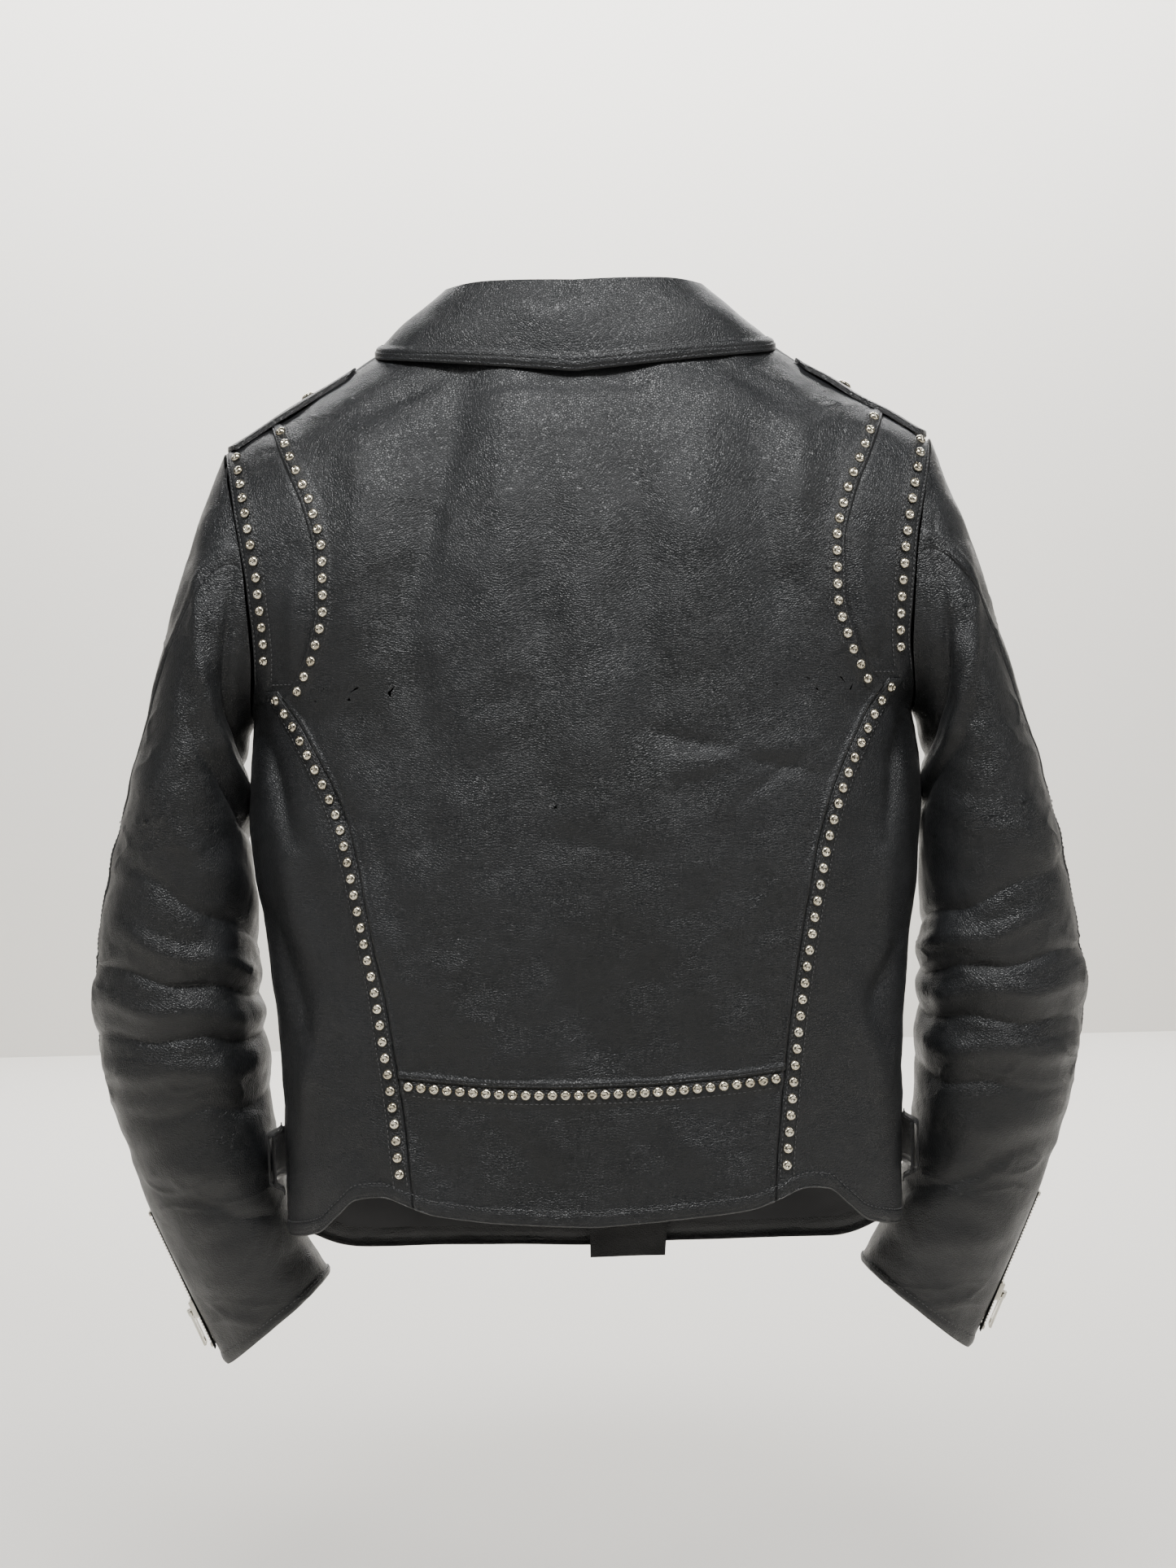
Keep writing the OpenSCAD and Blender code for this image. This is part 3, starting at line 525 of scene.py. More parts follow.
def sheetPiece(name, rule, across, down, rider="root", replaces=(), material=None,
               thickness=None, easeU=0.7, easeT=0.6, blendTo=None):
    bm = bmesh.new()
    bmesh.ops.create_grid(bm, x_segments=across, y_segments=down, size=0.5)
    flat = np.array([v.co[:] for v in bm.verts])
    p = closeUp(np.clip(flat[:, 0] + 0.5, 0, 1), easeU)
    t = closeUp(np.clip(0.5 - flat[:, 1], 0, 1), easeT)
    points = toFrame(rule(p, t))
    placeVerts(bm, points)
    area = sum(f.calc_area() for f in bm.faces)
    rows = points.reshape(down + 1, across + 1, 3)
    width = np.linalg.norm(np.diff(rows, axis=1), axis=2).sum(1).max()
    length = np.linalg.norm(np.diff(rows, axis=0), axis=2).sum(0).max()
    thick = (thickness or body["leatherT"]) / perMetre
    bmesh.ops.solidify(bm, geom=bm.faces[:], thickness=thick)
    bmesh.ops.recalc_face_normals(bm, faces=bm.faces[:])
    piece = makeObject(name, bm, material or leather, rider if not blendTo else None)
    piece.data.set_sharp_from_angle(angle=math.radians(60))
    if blendTo:
        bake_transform(piece)
    cutList.append([name, round(width * perMetre), round(length * perMetre), round(area, 4)])
    if replaces:
        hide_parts(*replaces)
    return piece


def mixed(a, b, t):
    return a + (b - a) * t


# A panel of the torso between two side seams and two edges; edgeLift shapes its lapped borders
def panelRule(uFrom, uTo, zTop, zBottom, off=0.0, edgeLift=None):
    def rule(p, t):
        def edge(curve):
            z = curve(0 * p + 90)
            for _ in range(3):
                z = curve(mixed(uFrom(z), uTo(z), p))
            return z
        z = mixed(edge(zTop), edge(zBottom), t)
        u = mixed(uFrom(z), uTo(z), p)
        lift = off + (edgeLift(u, z) if edgeLift else 0)
        return bodyPoint(u, z, lift)
    return rule


# Lapped and turned edges: a doubled band that stands proud, rounds off at its rim and dips at the stitching
lap = {"band": 12.0, "lift": 1.0, "rim": 1.2, "stitchIn": 2.0, "stitchOut": 11.0, "dip": 0.45}


def lapLift(d, lift=lap["lift"], band=lap["band"]):
    raised = lift * (1 - smoothStep(d, band - 1.5, band + 1.0))
    rim = -lap["rim"] * (1 - smoothStep(d, 0, 1.1))
    dips = sum(-lap["dip"] * np.exp(-((d - line) / 0.8)**2) for line in (lap["stitchIn"], band - 0.9))
    puff = 0.25 * np.exp(-((d - band * 0.5) / 3)**2)
    return raised + rim + dips + puff


def plainRim(d, roll=0.8):
    return -0.9 * (1 - smoothStep(d, 0, 1.2)) + roll * np.exp(-((d - 2.2) / 1.6)**2)


def seamDistance(curve, u, z, shift=0.0):
    point = torso(u, z)
    slope = (curve(z - 2) - curve(z + 2)) / 4
    seamU = backU(curve(z) + shift, z)
    seam = torso(np.sign(u + 1e-9) * seamU, z)
    gap = np.linalg.norm(point - seam, axis=-1)
    return gap / np.sqrt(1 + slope**2)


def hemDistance(u, z):
    return z - hemAt(wrapped(u))


def edgeFront(z, x0=0.0):
    return frontU(zipX(z) + x0, z)


zipJoint = next(j for j in frame["joints"] if j["name"] == "main_zip_slide")
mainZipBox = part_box("main_zip_chain")
zipSlope = zipJoint["axis"][0] / zipJoint["axis"][2]
zipFootX = (mainZipBox[0][0] + mainZipBox[1][0]) / 2 * perMetre
zipFootZ = (mainZipBox[0][2] + mainZipBox[1][2]) / 2 * perMetre


def zipX(z):
    return zipFootX + (z - zipFootZ) * zipSlope


def innerSeamU(z):
    return backU(innerRowX(z) + body["seamFromRow"], z)


def lowerSeamU(z):
    return backU(lowerRowX(z) - body["seamFromRow"], z)


def mainSeamU(z):
    return np.where(z > body["gussetFootZ"], np.minimum(90, innerSeamU(z)), lowerSeamU(z))


def backEdgeU(z):
    low = mixed(88, body["sideU"], smoothStep(armpitZ - z, 0, 40))
    return np.where(z > shoulderZ, 89.8, np.where(z > armpitZ, backU(armX(z) - 0.4, z), low))


def frontEdgeU(z):
    low = mixed(91, body["sideU"] + 0.4, smoothStep(armpitZ - z, 0, 40))
    return np.where(z > shoulderZ, 90.2, np.where(z > armpitZ, frontU(armX(z) - 0.4, z), low))


def waistCurve(x):
    return body["waistZ"] + body["waistSag"] * (x / body["waistSagX"])**2


def waistSeamZ(u):
    return waistCurve(torso(u, 0 * u + body["waistZ"])[..., 0]) - 1


def backLift(u, z):
    inner = seamDistance(innerRowX, u, z, body["seamFromRow"])
    lower = seamDistance(lowerRowX, u, z, -body["seamFromRow"])
    side = np.where(z > body["gussetFootZ"], lapLift(inner), plainRim(lower, 1.0))
    waist = plainRim(z - waistSeamZ(u), 1.5)
    shoulder = plainRim((90 - np.abs(u)) * 1.1, 0.3)
    return side + waist + np.where(z > -50, shoulder, 0)


def kidneyLift(u, z):
    lower = seamDistance(lowerRowX, u, z, -body["seamFromRow"])
    return lapLift(waistSeamZ(u) - z, 0.8) + plainRim(lower, 0.8) + lapLift(hemDistance(u, z), 0.7, 9)


def gussetLift(u, z):
    inner = seamDistance(innerRowX, u, z, body["seamFromRow"])
    arm = seamDistance(armX, u, z, -0.4)
    return lapLift(arm, 0.8, 15) - 0.8 * (1 - smoothStep(inner, 0, 4)) - 0.6


def sideLift(u, z):
    lower = seamDistance(lowerRowX, u, z, -body["seamFromRow"])
    return lapLift(lower, 0.9) + lapLift(hemDistance(u, z), 0.7, 9)


def frontLift(u, z):
    return lapLift(hemDistance(u, z), 0.7, 9)


def makeBodyPanels():
    sheetPiece("back_leather", panelRule(lambda z: -mainSeamU(z), mainSeamU, lambda u: neckAt(u) - 1,
                                         lambda u: waistSeamZ(u) + 0.4, 0, backLift),
               150, 190, replaces=("back_panel",))
    sheetPiece("kidney_leather", panelRule(lambda z: -lowerSeamU(z), lowerSeamU, waistSeamZ,
                                           hemAt, -0.3, kidneyLift),
               130, 60, replaces=("kidney_panel",))
    for side, sign in (("left", -1), ("right", 1)):
        def ends(a, b):
            return (a, b) if sign > 0 else (lambda z: -b(z), lambda z: -a(z))
        gusset = ends(innerSeamU, backEdgeU)
        sheetPiece("gusset_leather_" + side, panelRule(
            *gusset, lambda u: mixed(-47.5, shoulderZ + 1, np.clip((np.abs(u) - 77) / 13, 0, 1)),
            lambda u: 0 * u + body["gussetFootZ"] - 4, 0, gussetLift), 40, 90, replaces=("gusset_" + side,))
        flank = ends(lowerSeamU, backEdgeU)
        sheetPiece("side_leather_" + side, panelRule(
            *flank, lambda u: 0 * u + body["gussetFootZ"] + 2, hemAt, -0.2, sideLift),
            70, 150, replaces=("side_back_" + side,))
    sheetPiece("front_leather_right", panelRule(
        frontEdgeU, lambda z: edgeFront(z, 1.2), lambda u: neckAt(u) - 1, hemAt, -0.2,
        frontLift), 90, 170, replaces=("front_right",))
    sheetPiece("front_leather_left", panelRule(
        lambda z: edgeFront(z, -1.2), lambda z: 360 - frontEdgeU(z), lambda u: leftNeckAt(u) - 1,
        leftHemAt, -0.2, frontLift), 100, 170, replaces=("front_left",))
    sheetPiece("wind_flap_leather", panelRule(
        lambda z: edgeFront(z, 30), lambda z: frontU(0 * z - 4, z), lambda u: 0 * u - 150,
        lambda u: 0 * u - 640, -body["leatherT"] - 4.2), 24, 100, replaces=("wind_flap",),
        material=innerLeather)
    lapelOuter = smoothCurve([(-150, 162), (-110, 145), (-86, 128), (-71, 131)])
    lapelInner = smoothCurve([(-150, 168), (-110, 163), (-71, 148)])
    for side, sign in (("left", -1), ("right", 1)):
        outer = lapelOuter if sign > 0 else (lambda z: 360 - lapelInner(z))
        inner = lapelInner if sign > 0 else (lambda z: 360 - lapelOuter(z))
        sheetPiece("lapel_leather_" + side, panelRule(
            outer, inner, lambda u: 0 * u - 71, lambda u: 0 * u - 150, 3.2), 40, 60,
            replaces=("lapel_" + side,), thickness=2.4)
    print("body panels made")


def liningTopZ(u):
    return mixed(-17, neckAt(u) - 4, smoothStep(np.abs(u), 30, 52))


# The body linings hang inside the leather by inset, and stop above the hem and short of the zip
liner = {"inset": 8.0, "aboveHem": 14, "fromZip": 38, "cloth": 0.6}


def makeLining():
    def endAbove(hem):
        return lambda u: hem(u) + liner["aboveHem"]

    def startBelow(neck):
        return lambda u: np.minimum(neck(u), 8) - 4
    panels = {
        "back_cloth": (lambda z: -backEdgeU(z) + 2, lambda z: backEdgeU(z) - 2, liningTopZ, endAbove(hemAt),
                       60, "lining_back"),
        "front_cloth_right": (lambda z: frontEdgeU(z) + 2, lambda z: edgeFront(z, liner["fromZip"]),
                              startBelow(neckAt), endAbove(hemAt), 40, "lining_front_right"),
        "front_cloth_left": (lambda z: edgeFront(z, -liner["fromZip"]), lambda z: 358 - frontEdgeU(z),
                             startBelow(leftNeckAt), endAbove(leftHemAt), 40, "lining_front_left"),
    }
    for name, (*edges, across, node) in panels.items():
        sheetPiece("lining_" + name, panelRule(*edges, -liner["inset"]), across, 70, replaces=(node,),
                   material=lining, thickness=liner["cloth"])
    print("lining made")


def fallLift(t):
    d = (1 - t) * collar["fallLength"]
    return lapLift(d, 0.9, 10) + 0.5 * np.exp(-((d - 5) / 3)**2)


def makeCollar():
    def fallRule(p, t):
        u = mixed(-collar["endU"], collar["endU"], p)
        return fallPoint(u, t, fallLift(t))

    def standRule(p, t):
        return standPoint(mixed(-collar["endU"], collar["endU"], p), 1 - t, 0 * p)
    sheetPiece("collar_fall_leather", fallRule, 200, 46, replaces=("collar_fall",), thickness=2.6,
               easeU=0.4)
    sheetPiece("collar_stand_leather", standRule, 120, 14, replaces=("collar_stand",), thickness=2.0,
               easeU=0.4)
    print("collar made")


# The sleeves: upper and under parts, seamed at the back and inside; the cap pieces are baked in place and not
# carried with the sleeve
sleeve = {
    "capEnd": 3.0, "cuffEnd": 9.0, "cuffBand": 9.0, "stepLength": 72, "blendX": 246.5, "blendLength": 16.5,
}


def sleeveLift(s, v):
    back = (np.asarray(v) - backSeamV(s)) * 0.95
    seam = np.where(back < 0, lapLift(-back, 0.8, 9), plainRim(back, 0.2))
    length = (sleeve["cuffEnd"] - s) * sleeve["stepLength"]
    return seam * smoothStep(s, 0.0, 0.25) + lapLift(length, 0.7, sleeve["cuffBand"])


def sleeveRule(side, vFrom, vTo, sFrom, sTo, off=0.0, seams=True):
    def rule(p, t):
        s = mixed(sFrom, sTo, t)
        v = mixed(vFrom(s), vTo(s), 1 - p if side == "right" else p)
        return sleevePoint(side, s, v, off + (sleeveLift(s, v) if seams else 0))
    return rule


def makeSleeve(side):
    sign = 1 if side == "right" else -1
    rider = "sleeve_" + side
    start = (sign * sleeve["blendX"] / perMetre, middleY, 0.0)
    tilt = Vector((sign * 1.0, 0.0, -0.076)).normalized()
    end = tuple(Vector(start) + tilt * (sleeve["blendLength"] / perMetre))
    parts = {"upper": (lambda s: innerSeamV(s) - 360, backSeamV, 110), "under": (backSeamV, innerSeamV, 70)}
    for part, (vFrom, vTo, across) in parts.items():
        rule = sleeveRule(side, vFrom, vTo, 0.0, sleeve["capEnd"])
        sheetPiece(f"sleeve_{part}_cap_{side}", rule, across, 90, rider, material=sleeveLeather, easeU=0.5,
                   easeT=0.0, blendTo=(start, end))
        rule = sleeveRule(side, vFrom, vTo, sleeve["capEnd"], sleeve["cuffEnd"])
        sheetPiece(f"sleeve_{part}_arm_{side}", rule, across, 190, rider, material=sleeveLeather, easeU=0.5,
                   easeT=0.0, replaces=(f"sleeve_{part}_{side}",))
    around = (lambda s: 0 * s - 3, lambda s: 0 * s + 357.5)
    rule = sleeveRule(side, *around, 0.3, sleeve["capEnd"], -4.2, False)
    sheetPiece("sleeve_lining_cap_" + side, rule, 60, 30,
               rider, material=lining, thickness=0.6, easeU=0, easeT=0, blendTo=(start, end))
    rule = sleeveRule(side, *around, sleeve["capEnd"], 6.8, -4.2, False)
    sheetPiece("sleeve_lining_arm_" + side, rule, 60, 60,
               rider, material=lining, thickness=0.6, easeU=0, easeT=0,
               replaces=("sleeve_lining_" + side,))
    gap = (lambda s: backSeamV(s) + 7, lambda s: backSeamV(s) + 352)
    sheetPiece("cuff_facing_" + side, sleeveRule(side, *gap, 6.6, 8.96, -2.2, False), 60, 50, rider,
               material=innerLeather, thickness=1.0, easeU=0, easeT=0)
    print("sleeve made:", side)


# Studs: domed, ringed, with a small flat top
stud = {"r": 3.5, "h": 2.3, "pitch": 10.9, "sides": 14, "waistCount": 29, "waistReach": 120}


def studTemplate():
    r, h = stud["r"], stud["h"]
    outline = [(r, -0.4), (r, 0.35), (0.93 * r, 0.5 * h), (0.74 * r, 0.84 * h), (0.5 * r, h),
               (0.4 * r, 0.99 * h), (0.34 * r, 0.86 * h), (0.0, 0.84 * h)]
    bm = bmesh.new()
    verts = [bm.verts.new((x, 0, z)) for x, z in outline]
    edges = [bm.edges.new(pair) for pair in zip(verts, verts[1:])]
    bmesh.ops.spin(bm, geom=verts + edges, cent=(0, 0, 0), axis=(0, 0, 1), angle=2 * math.pi,
                   steps=stud["sides"], use_merge=True)
    bmesh.ops.remove_doubles(bm, verts=bm.verts[:], dist=0.01)
    bmesh.ops.holes_fill(bm, edges=bm.edges[:])
    bmesh.ops.recalc_face_normals(bm, faces=bm.faces[:])
    return asMesh("stud_template", bm)


def scatter(name, template, places, material, rider, replaces=(), smooth=True):
    bm = bmesh.new()
    for point, normal, turn in places:
        first = len(bm.verts)
        bm.from_mesh(template)
        bm.verts.ensure_lookup_table()
        axis = Vector(normal).normalized()
        across = Vector(turn) - axis * Vector(turn).dot(axis)
        across.normalize()
        spin = Matrix((across, axis.cross(across), axis)).transposed().to_4x4()
        spin.translation = Vector(toFrame(point))
        size = Matrix.Scale(1 / perMetre, 4)
        bmesh.ops.transform(bm, matrix=spin @ size, verts=bm.verts[first:])
    piece = makeObject(name, bm, material, rider, smooth)
    if replaces:
        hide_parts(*replaces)
    return piece


def rowHeights(rule, z, stop):
    heights = []
    while z > stop:
        heights.append(z)
        slope = float(rule(z - 2) - rule(z + 2)) / 4
        z -= stud["pitch"] / math.sqrt(1 + slope * slope)
    return heights


def makeStuds():
    template = studTemplate()
    draw = np.random.default_rng(31)
    rows = {
        "studs_outer": (outerRowX, shoulderZ - 6, -222, (-1, 1)),
        "studs_inner_left": (innerRowX, -57, -237, (-1,)), "studs_inner_right": (innerRowX, -57, -237, (1,)),
        "studs_lower_left": (lowerRowX, -238, -556, (-1,)), "studs_lower_right": (lowerRowX, -238, -556, (1,)),
    }
    for name, (rule, start, stop, signs) in rows.items():
        places = []
        for sign in signs:
            for z in rowHeights(rule, start, stop):
                u = float(backU(rule(z), z)) * sign
                tilt = torsoNormal(u, z) + draw.normal(size=3) * 0.05
                places.append((bodyPoint(u, z, 1.0), tilt, (0, 0, 1)))
        scatter(name.replace("studs", "stud_row"), template, places, studNickel, "root", (name,))
    places = []
    last = (stud["waistCount"] - 1) // 2
    for k in range(-last, last + 1):
        x = stud["waistReach"] * k / last
        z = waistCurve(x) - body["seamFromRow"]
        u = float(backU(x, z))
        places.append((bodyPoint(u, z, 0.9), torsoNormal(u, z) + draw.normal(size=3) * 0.05, (0, 0, 1)))
    scatter("stud_row_waist", template, places, studNickel, "root", ("studs_waist",))
    print("studs made")


# Stitching: short runs of thread that sit in the dips beside each seam
stitch = {"pitch": 3.4, "long": 2.6, "thick": 0.8, "fromHem": 8.2, "fromCollarEdge": 9.1}


def stitchTemplate():
    bm = bmesh.new()
    bmesh.ops.create_icosphere(bm, subdivisions=1, radius=0.5)
    bmesh.ops.scale(bm, verts=bm.verts[:], vec=(stitch["long"], stitch["thick"], stitch["thick"]))
    return asMesh("stitch_template", bm)


def stitchPlaces(points, normals):
    points, normals = np.asarray(points), np.asarray(normals)
    steps = np.linalg.norm(np.diff(points, axis=0), axis=1)
    run = np.concatenate([[0], np.cumsum(steps)])
    count = int(run[-1] / stitch["pitch"])
    spots = (np.arange(count) + 0.5) * stitch["pitch"]
    at = np.stack([np.interp(spots, run, points[:, k]) for k in range(3)], -1)
    out = np.stack([np.interp(spots, run, normals[:, k]) for k in range(3)], -1)
    ahead = np.stack([np.interp(spots + 1, run, points[:, k]) for k in range(3)], -1)
    behind = np.stack([np.interp(spots - 1, run, points[:, k]) for k in range(3)], -1)
    return [(a, n, h - b) for a, n, h, b in zip(at, out, ahead, behind)]


def bodyRun(u, z, off):
    return stitchPlaces(bodyPoint(u, z, off), torsoNormal(u, z))


def makeStitching():
    template = stitchTemplate()
    runs = []
    up = np.linspace(-52, -234, 160)
    low = np.linspace(-236, -562, 280)
    near, far = lap["stitchIn"], lap["stitchOut"]
    for sign in (-1, 1):
        for d in (near, far):
            runs += bodyRun(sign * backU(innerRowX(up) + body["seamFromRow"] - d, up), up, 0.75)
            runs += bodyRun(sign * backU(lowerRowX(low) - body["seamFromRow"] + d, low), low, 0.7)
        arm = np.linspace(-72, -228, 140)
        runs += bodyRun(sign * backU(armX(arm) - 14.2, arm), arm, 0.3)
        runs += bodyRun(sign * backU(armX(arm) - 2.4, arm), arm, 0.3)
        foot = np.linspace(193, 208, 12)
        runs += bodyRun(sign * backU(foot, -228 + 0 * foot), -228 + 0 * foot, 0.3)
    x = np.linspace(-118, 118, 200)
    for d in (near, far):
        z = waistCurve(x) - 1 - d
        runs += bodyRun(backU(x, z), z, 0.55)
    around = np.linspace(-178, 178, 900)
    z = hemAt(around) + stitch["fromHem"]
    runs += bodyRun(around, z, 0.45)
    u = np.linspace(-collar["endU"] + 2, collar["endU"] - 2, 500)
    t = 0 * u + 1 - stitch["fromCollarEdge"] / collar["fallLength"]
    fall = fallPoint(u, t, fallLift(t) + 0.25)
    runs += stitchPlaces(fall, unit(fall * np.array([1, 1, 0])))
    scatter("stitching_body", template, runs, thread, "root", smooth=True)
    for side in ("left", "right"):
        s = np.linspace(sleeve["capEnd"], 8.8, 500)
        v = backSeamV(s) - 3
        mirror = np.array([1 if side == "right" else -1, 1, 1])
        arm = stitchPlaces(sleevePoint(side, s, v, 0.9), sleeveNormal(s, v) * mirror)
        turn = np.linspace(0, 360, 200)
        cuff = 0 * turn + sleeve["cuffEnd"] - stitch["fromHem"] / sleeve["stepLength"]
        arm += stitchPlaces(sleevePoint(side, cuff, turn, 0.7), sleeveNormal(cuff, turn) * mirror)
        scatter("stitching_sleeve_" + side, template, arm, thread, "sleeve_" + side)
    print("stitching made")


# Metal and strap pieces keep the CAD's shape, with their edges eased
def easedCopy(node, name, width, material, segments=2):
    source = frame["nodes"][node]
    bm = bmesh.new()
    bm.from_mesh(source.data)
    bmesh.ops.remove_doubles(bm, verts=bm.verts[:], dist=1e-5)
    bmesh.ops.dissolve_limit(bm, angle_limit=math.radians(2), verts=bm.verts[:], edges=bm.edges[:])
    sharp = [e for e in bm.edges if e.is_manifold and e.calc_face_angle(0) > math.radians(35)]
    bmesh.ops.bevel(bm, geom=sharp, offset=width / perMetre, offset_type="OFFSET", affect="EDGES",
                    segments=segments, profile=0.5, material=-1, clamp_overlap=True)
    bodyName = next(b for b, nodes in frame["record"]["behaviour"]["bodies"].items() if node in nodes)
    piece = makeObject(name, bm, material, bodyName)
    piece.data.set_sharp_from_angle(angle=math.radians(40))
    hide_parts(node)
    return piece


def makeFittings():
    for node in ("main_zip", "chest_zip"):
        easedCopy(node + "_slider", node + "_slider_metal", 0.45, buckleNickel)
        easedCopy(node + "_pull", node + "_pull_metal", 0.35, buckleNickel)
    for kind in ("hand_zip", "cuff_zip"):
        for side in ("left", "right"):
            easedCopy(f"{kind}_slider_{side}", f"{kind}_slider_metal_{side}", 0.45, buckleNickel)
            easedCopy(f"{kind}_pull_{side}", f"{kind}_pull_metal_{side}", 0.35, buckleNickel)
    easedCopy("buckle_frame", "buckle_frame_metal", 0.5, buckleNickel, 3)
    easedCopy("buckle_prong", "buckle_prong_metal", 0.3, buckleNickel)
    easedCopy("lapel_snaps", "lapel_snap_caps", 0.15, studNickel)
    easedCopy("coin_snap", "coin_snap_cap", 0.15, studNickel)
    for side in ("left", "right"):
        easedCopy("epaulette_snaps_" + side, "epaulette_snap_cap_" + side, 0.15, studNickel)
    easedCopy("hang_loop", "hang_loop_strap", 0.6, strapLeather, 3)
    easedCopy("coin_flap", "coin_flap_leather", 0.8, leather, 3)
    print("fittings made")


# Zips: two rows of metal teeth between tapes
zipTeeth = {"pitch": 2.4, "wide": 3.4, "long": 1.35, "tape": 7.0, "tapeT": 0.6, "edge": 3.2}


def toothTemplate():
    bm = bmesh.new()
    bmesh.ops.create_cube(bm, size=1.0)
    bmesh.ops.scale(bm, verts=bm.verts[:], vec=(zipTeeth["wide"], zipTeeth["long"], 2.2))
    tip = [v for v in bm.verts if v.co.x > 0]
    bmesh.ops.scale(bm, verts=tip, vec=(1.0, 0.72, 0.8))
    return asMesh("tooth_template", bm)


def makeZip(label, chain, slide, pull, rider):
    joints = {j["name"]: j for j in frame["joints"]}
    along = np.array(joints[slide]["axis"])
    across = -np.array(joints[pull]["axis"])
    verts = np.array([v.co[:] for v in frame["nodes"][chain].data.vertices]) * perMetre
    cap = np.array([v.co[:] for v in frame["nodes"][chain.replace("chain", "pull")].data.vertices]) * perMetre
    if (cap.mean(0) - verts.mean(0)) @ np.cross(across, along) < 0:
        across = -across
    face = np.cross(across, along)
    low = (verts @ along).min() + zipTeeth["edge"]
    high = (verts @ along).max() - zipTeeth["edge"]
    middle = ((verts @ across).min() + (verts @ across).max()) / 2
    foot = (verts @ face).min()
    base = across * middle + face * foot - np.array([0, middleY * perMetre, 0])
    places = []
    for k in range(int((high - low) / zipTeeth["pitch"] * 2)):
        hand = 1 if k % 2 else -1
        spot = base + along * (low + 0.8 + k * zipTeeth["pitch"] / 2) + face * 1.25 + across * hand * 1.15
        places.append((spot, face, -across * hand))
    scatter("zip_teeth_" + label, toothTemplate(), places, zipMetal, rider, (chain,), smooth=False)
    bm = bmesh.new()
    for end in (low - 1.7, high + 1.7):
        stop = bmesh.ops.create_cube(bm, size=1.0)["verts"]
        bmesh.ops.scale(bm, verts=stop, vec=(8, 3, 2.8))
        bmesh.ops.translate(bm, verts=stop, vec=(0, end, 1.4))
    bmesh.ops.bevel(bm, geom=bm.edges[:], offset=0.5, offset_type="OFFSET", affect="EDGES", segments=2,
                    profile=0.5, material=-1, clamp_overlap=True)
    turn = Matrix((across, along, face)).transposed().to_4x4()
    turn.translation = Vector(base)
    shift = Matrix.Translation((0, middleY, 0)) @ Matrix.Scale(1 / perMetre, 4)
    bmesh.ops.transform(bm, matrix=shift @ turn, verts=bm.verts[:])
    makeObject("zip_stops_" + label, bm, zipMetal, rider)
    bm = bmesh.new()
    for hand in (-1, 1):
        strip = bmesh.ops.create_grid(bm, x_segments=4, y_segments=60, size=0.5)["verts"]
        bmesh.ops.scale(bm, verts=strip, vec=(zipTeeth["tape"] - 2, high - low + 8, 1))
        bmesh.ops.translate(bm, verts=strip, vec=(hand * (zipTeeth["tape"] / 2 + 1.4), (high + low) / 2, 0.25))
    bmesh.ops.solidify(bm, geom=bm.faces[:], thickness=zipTeeth["tapeT"])
    bmesh.ops.transform(bm, matrix=shift @ turn, verts=bm.verts[:])
    bmesh.ops.recalc_face_normals(bm, faces=bm.faces[:])
    makeObject("zip_tape_" + label, bm, zipTape, rider)


def makeZips():
    makeZip("main", "main_zip_chain", "main_zip_slide", "main_pull_swing", "root")
    makeZip("chest", "chest_zip_chain", "chest_zip_slide", "chest_pull_swing", "root")
    for side in ("left", "right"):
        makeZip("hand_" + side, "hand_zip_chain_" + side, f"hand_{side}_zip_slide", f"hand_{side}_pull_swing",
                "root")
        makeZip("cuff_" + side, "cuff_zip_chain_" + side, f"cuff_zip_{side}_slide", f"cuff_pull_{side}_swing",
                "sleeve_" + side)
    print("zips made")


# Straps: epaulettes, belt and belt loops
straps = {"beltZ": -548, "beltW": 32, "beltOff": 6, "beltT": 3, "barX": -66, "epauletteHalfW": 19}


def strapLift(d):
    return -0.9 * (1 - smoothStep(d, 0, 1.4)) - 0.35 * np.exp(-((d - 3.2) / 0.7)**2)


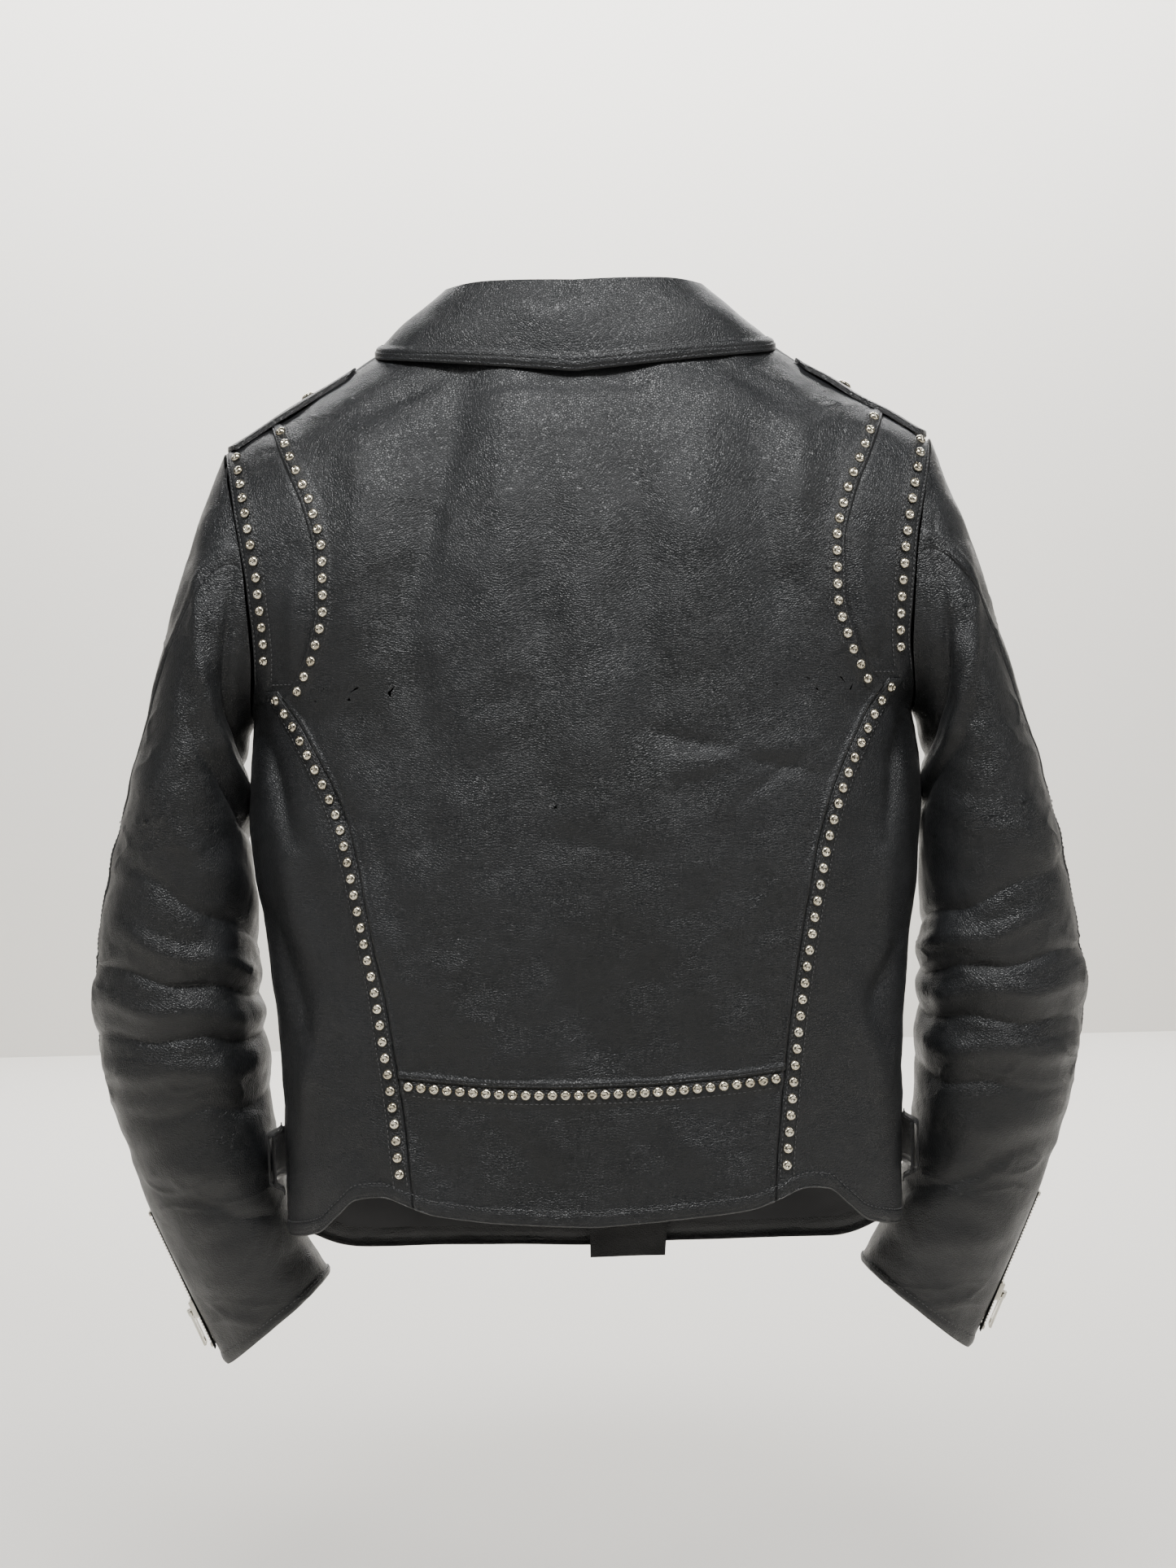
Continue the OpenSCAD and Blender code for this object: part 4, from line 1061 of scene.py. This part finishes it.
def makeStraps():
    top, bottom = straps["beltZ"] + straps["beltW"] / 2, straps["beltZ"] - straps["beltW"] / 2
    off = straps["beltOff"] + straps["beltT"] - 0.2

    def beltLift(z):
        return strapLift(np.minimum(top - z, z - bottom))

    def beltRule(uFrom, uTo):
        def rule(p, t):
            z = mixed(top, bottom, t)
            u = mixed(uFrom(z), uTo(z), p)
            return torso(u, z) + torsoNormal(u, z) * (off + beltLift(z))[..., None]
        return rule
    rule = beltRule(lambda z: 0 * z + 76.5, lambda z: frontU(straps["barX"] + 7 + 0 * z, z))
    sheetPiece("belt_strap_right", rule, 120, 26, replaces=("belt_right",), material=strapLeather,
               thickness=2.6, easeU=0.2)
    rule = beltRule(lambda z: frontU(straps["barX"] - 4 + 0 * z, z), lambda z: 0 * z + 283.5)
    sheetPiece("belt_strap_left", rule, 80, 26, replaces=("belt_left",), material=strapLeather,
               thickness=2.6, easeU=0.2)
    for side, sign in (("left", -1), ("right", 1)):
        def loopRule(p, t):
            z = mixed(top + 7, bottom - 7, t)
            u = sign * mixed(80.5, 87.5, p if sign > 0 else 1 - p)
            ends = smoothStep(np.minimum(top + 7 - z, z - bottom + 7), 1, 8)
            rim = -0.7 * (1 - smoothStep(np.minimum(p, 1 - p), 0, 0.12))
            lift = mixed(2.2, straps["beltOff"] + straps["beltT"] + 2.8, ends) + rim
            return torso(u, z) + torsoNormal(u, z) * lift[..., None]
        sheetPiece("belt_loop_strap_" + side, loopRule, 24, 50, replaces=("belt_loop_" + side,),
                   material=strapLeather, thickness=1.9)

        def epauletteRule(p, t):
            z = mixed(-13, shoulderZ + 1.5, t)
            reach = np.degrees(np.arcsin(straps["epauletteHalfW"] / backY(z)))
            taper = 1 - 0.35 * (1 - smoothStep(t, 0, 0.14))
            u = sign * 90 + mixed(-1, 1, p) * reach * taper
            point = torso(u, z)
            rim = strapLift(np.minimum(p, 1 - p) * 2 * straps["epauletteHalfW"])
            lift = 3.6 + rim + 0.5 * crumple(point, 40, 41)
            return point + torsoNormal(u, z) * lift[..., None]
        sheetPiece("epaulette_strap_" + side, epauletteRule, 40, 70, "epaulette_" + side, material=strapLeather,
                   replaces=("epaulette_" + side,), thickness=2.6)
    print("straps made")


# Floor, wall, lights and camera
studio = {
    "floorZ": -0.95, "wallY": 4.0, "planeSize": 9.0,
    "camera": (0.002, -1.455, -0.298), "lens": 50.0, "roll": 1.3,
}


def addPlane(name, material, turn, shift):
    bm = bmesh.new()
    bmesh.ops.create_grid(bm, x_segments=1, y_segments=1, size=studio["planeSize"])
    bmesh.ops.rotate(bm, verts=bm.verts[:], cent=(0, 0, 0), matrix=Matrix.Rotation(turn, 3, "X"))
    bmesh.ops.translate(bm, verts=bm.verts[:], vec=shift)
    plane = bpy.data.objects.new(name, asMesh(name, bm))
    plane.data.materials.append(material)
    bpy.context.scene.collection.objects.link(plane)


def makeStage():
    # Matt emulsion paint, the same on floor and wall
    material, shader, _ = newMaterial("painted_floor_matte")
    shader.inputs["Base Color"].default_value = fromHex("#d9d6d0")
    shader.inputs["Roughness"].default_value = 0.8
    addPlane("studio_wall", material, math.pi / 2, (0, studio["wallY"], 0))
    addPlane("studio_floor", material, 0, (0, 0, studio["floorZ"]))


def addLight(name, place, target, size, power, colour="#ffffff"):
    light = bpy.data.lights.new(name, "AREA")
    light.energy = power
    light.shape = "RECTANGLE"
    light.size, light.size_y = size
    light.color = fromHex(colour)[:3]
    lamp = bpy.data.objects.new(name, light)
    lamp.location = place
    lamp.rotation_euler = (Vector(target) - Vector(place)).to_track_quat("-Z", "Y").to_euler()
    bpy.context.scene.collection.objects.link(lamp)


def makeCameraAndLights():
    cam = bpy.data.cameras.new("camera")
    cam.lens = studio["lens"]
    cam.sensor_width = 36.0
    holder = bpy.data.objects.new("camera", cam)
    holder.location = studio["camera"]
    holder.rotation_euler = (math.pi / 2, math.radians(studio["roll"]), 0)
    bpy.context.scene.collection.objects.link(holder)
    bpy.context.scene.camera = holder
    world = bpy.data.worlds.new("studio")
    world.use_nodes = True
    world.node_tree.nodes["Background"].inputs["Color"].default_value = fromHex("#e9e8e6")
    world.node_tree.nodes["Background"].inputs["Strength"].default_value = 0.09
    bpy.context.scene.world = world
    addLight("ceiling_soft", (0.0, -1.1, 1.3), (0, 0, -0.2), (1.2, 0.35), 64)
    addLight("left_fill", (-1.9, -1.2, 0.5), (0, 0, -0.35), (0.3, 1.5), 11)
    addLight("right_fill", (1.9, -1.0, 0.6), (0, 0, -0.35), (0.3, 1.5), 15)
    addLight("wall_wash", (0.0, 2.6, 2.6), (0, 4.0, -0.6), (5.0, 0.6), 420)
    addLight("front_soft", (0.5, 2.0, 0.9), (0, 0, -0.3), (1.4, 1.4), 14)


makeStage()
makeCameraAndLights()
makeBodyPanels()
makeLining()
makeCollar()
for sleeveSide in ("left", "right"):
    makeSleeve(sleeveSide)
makeStuds()
makeStitching()
makeFittings()
makeZips()
makeStraps()
for row in cutList:
    print("cut:", *row)
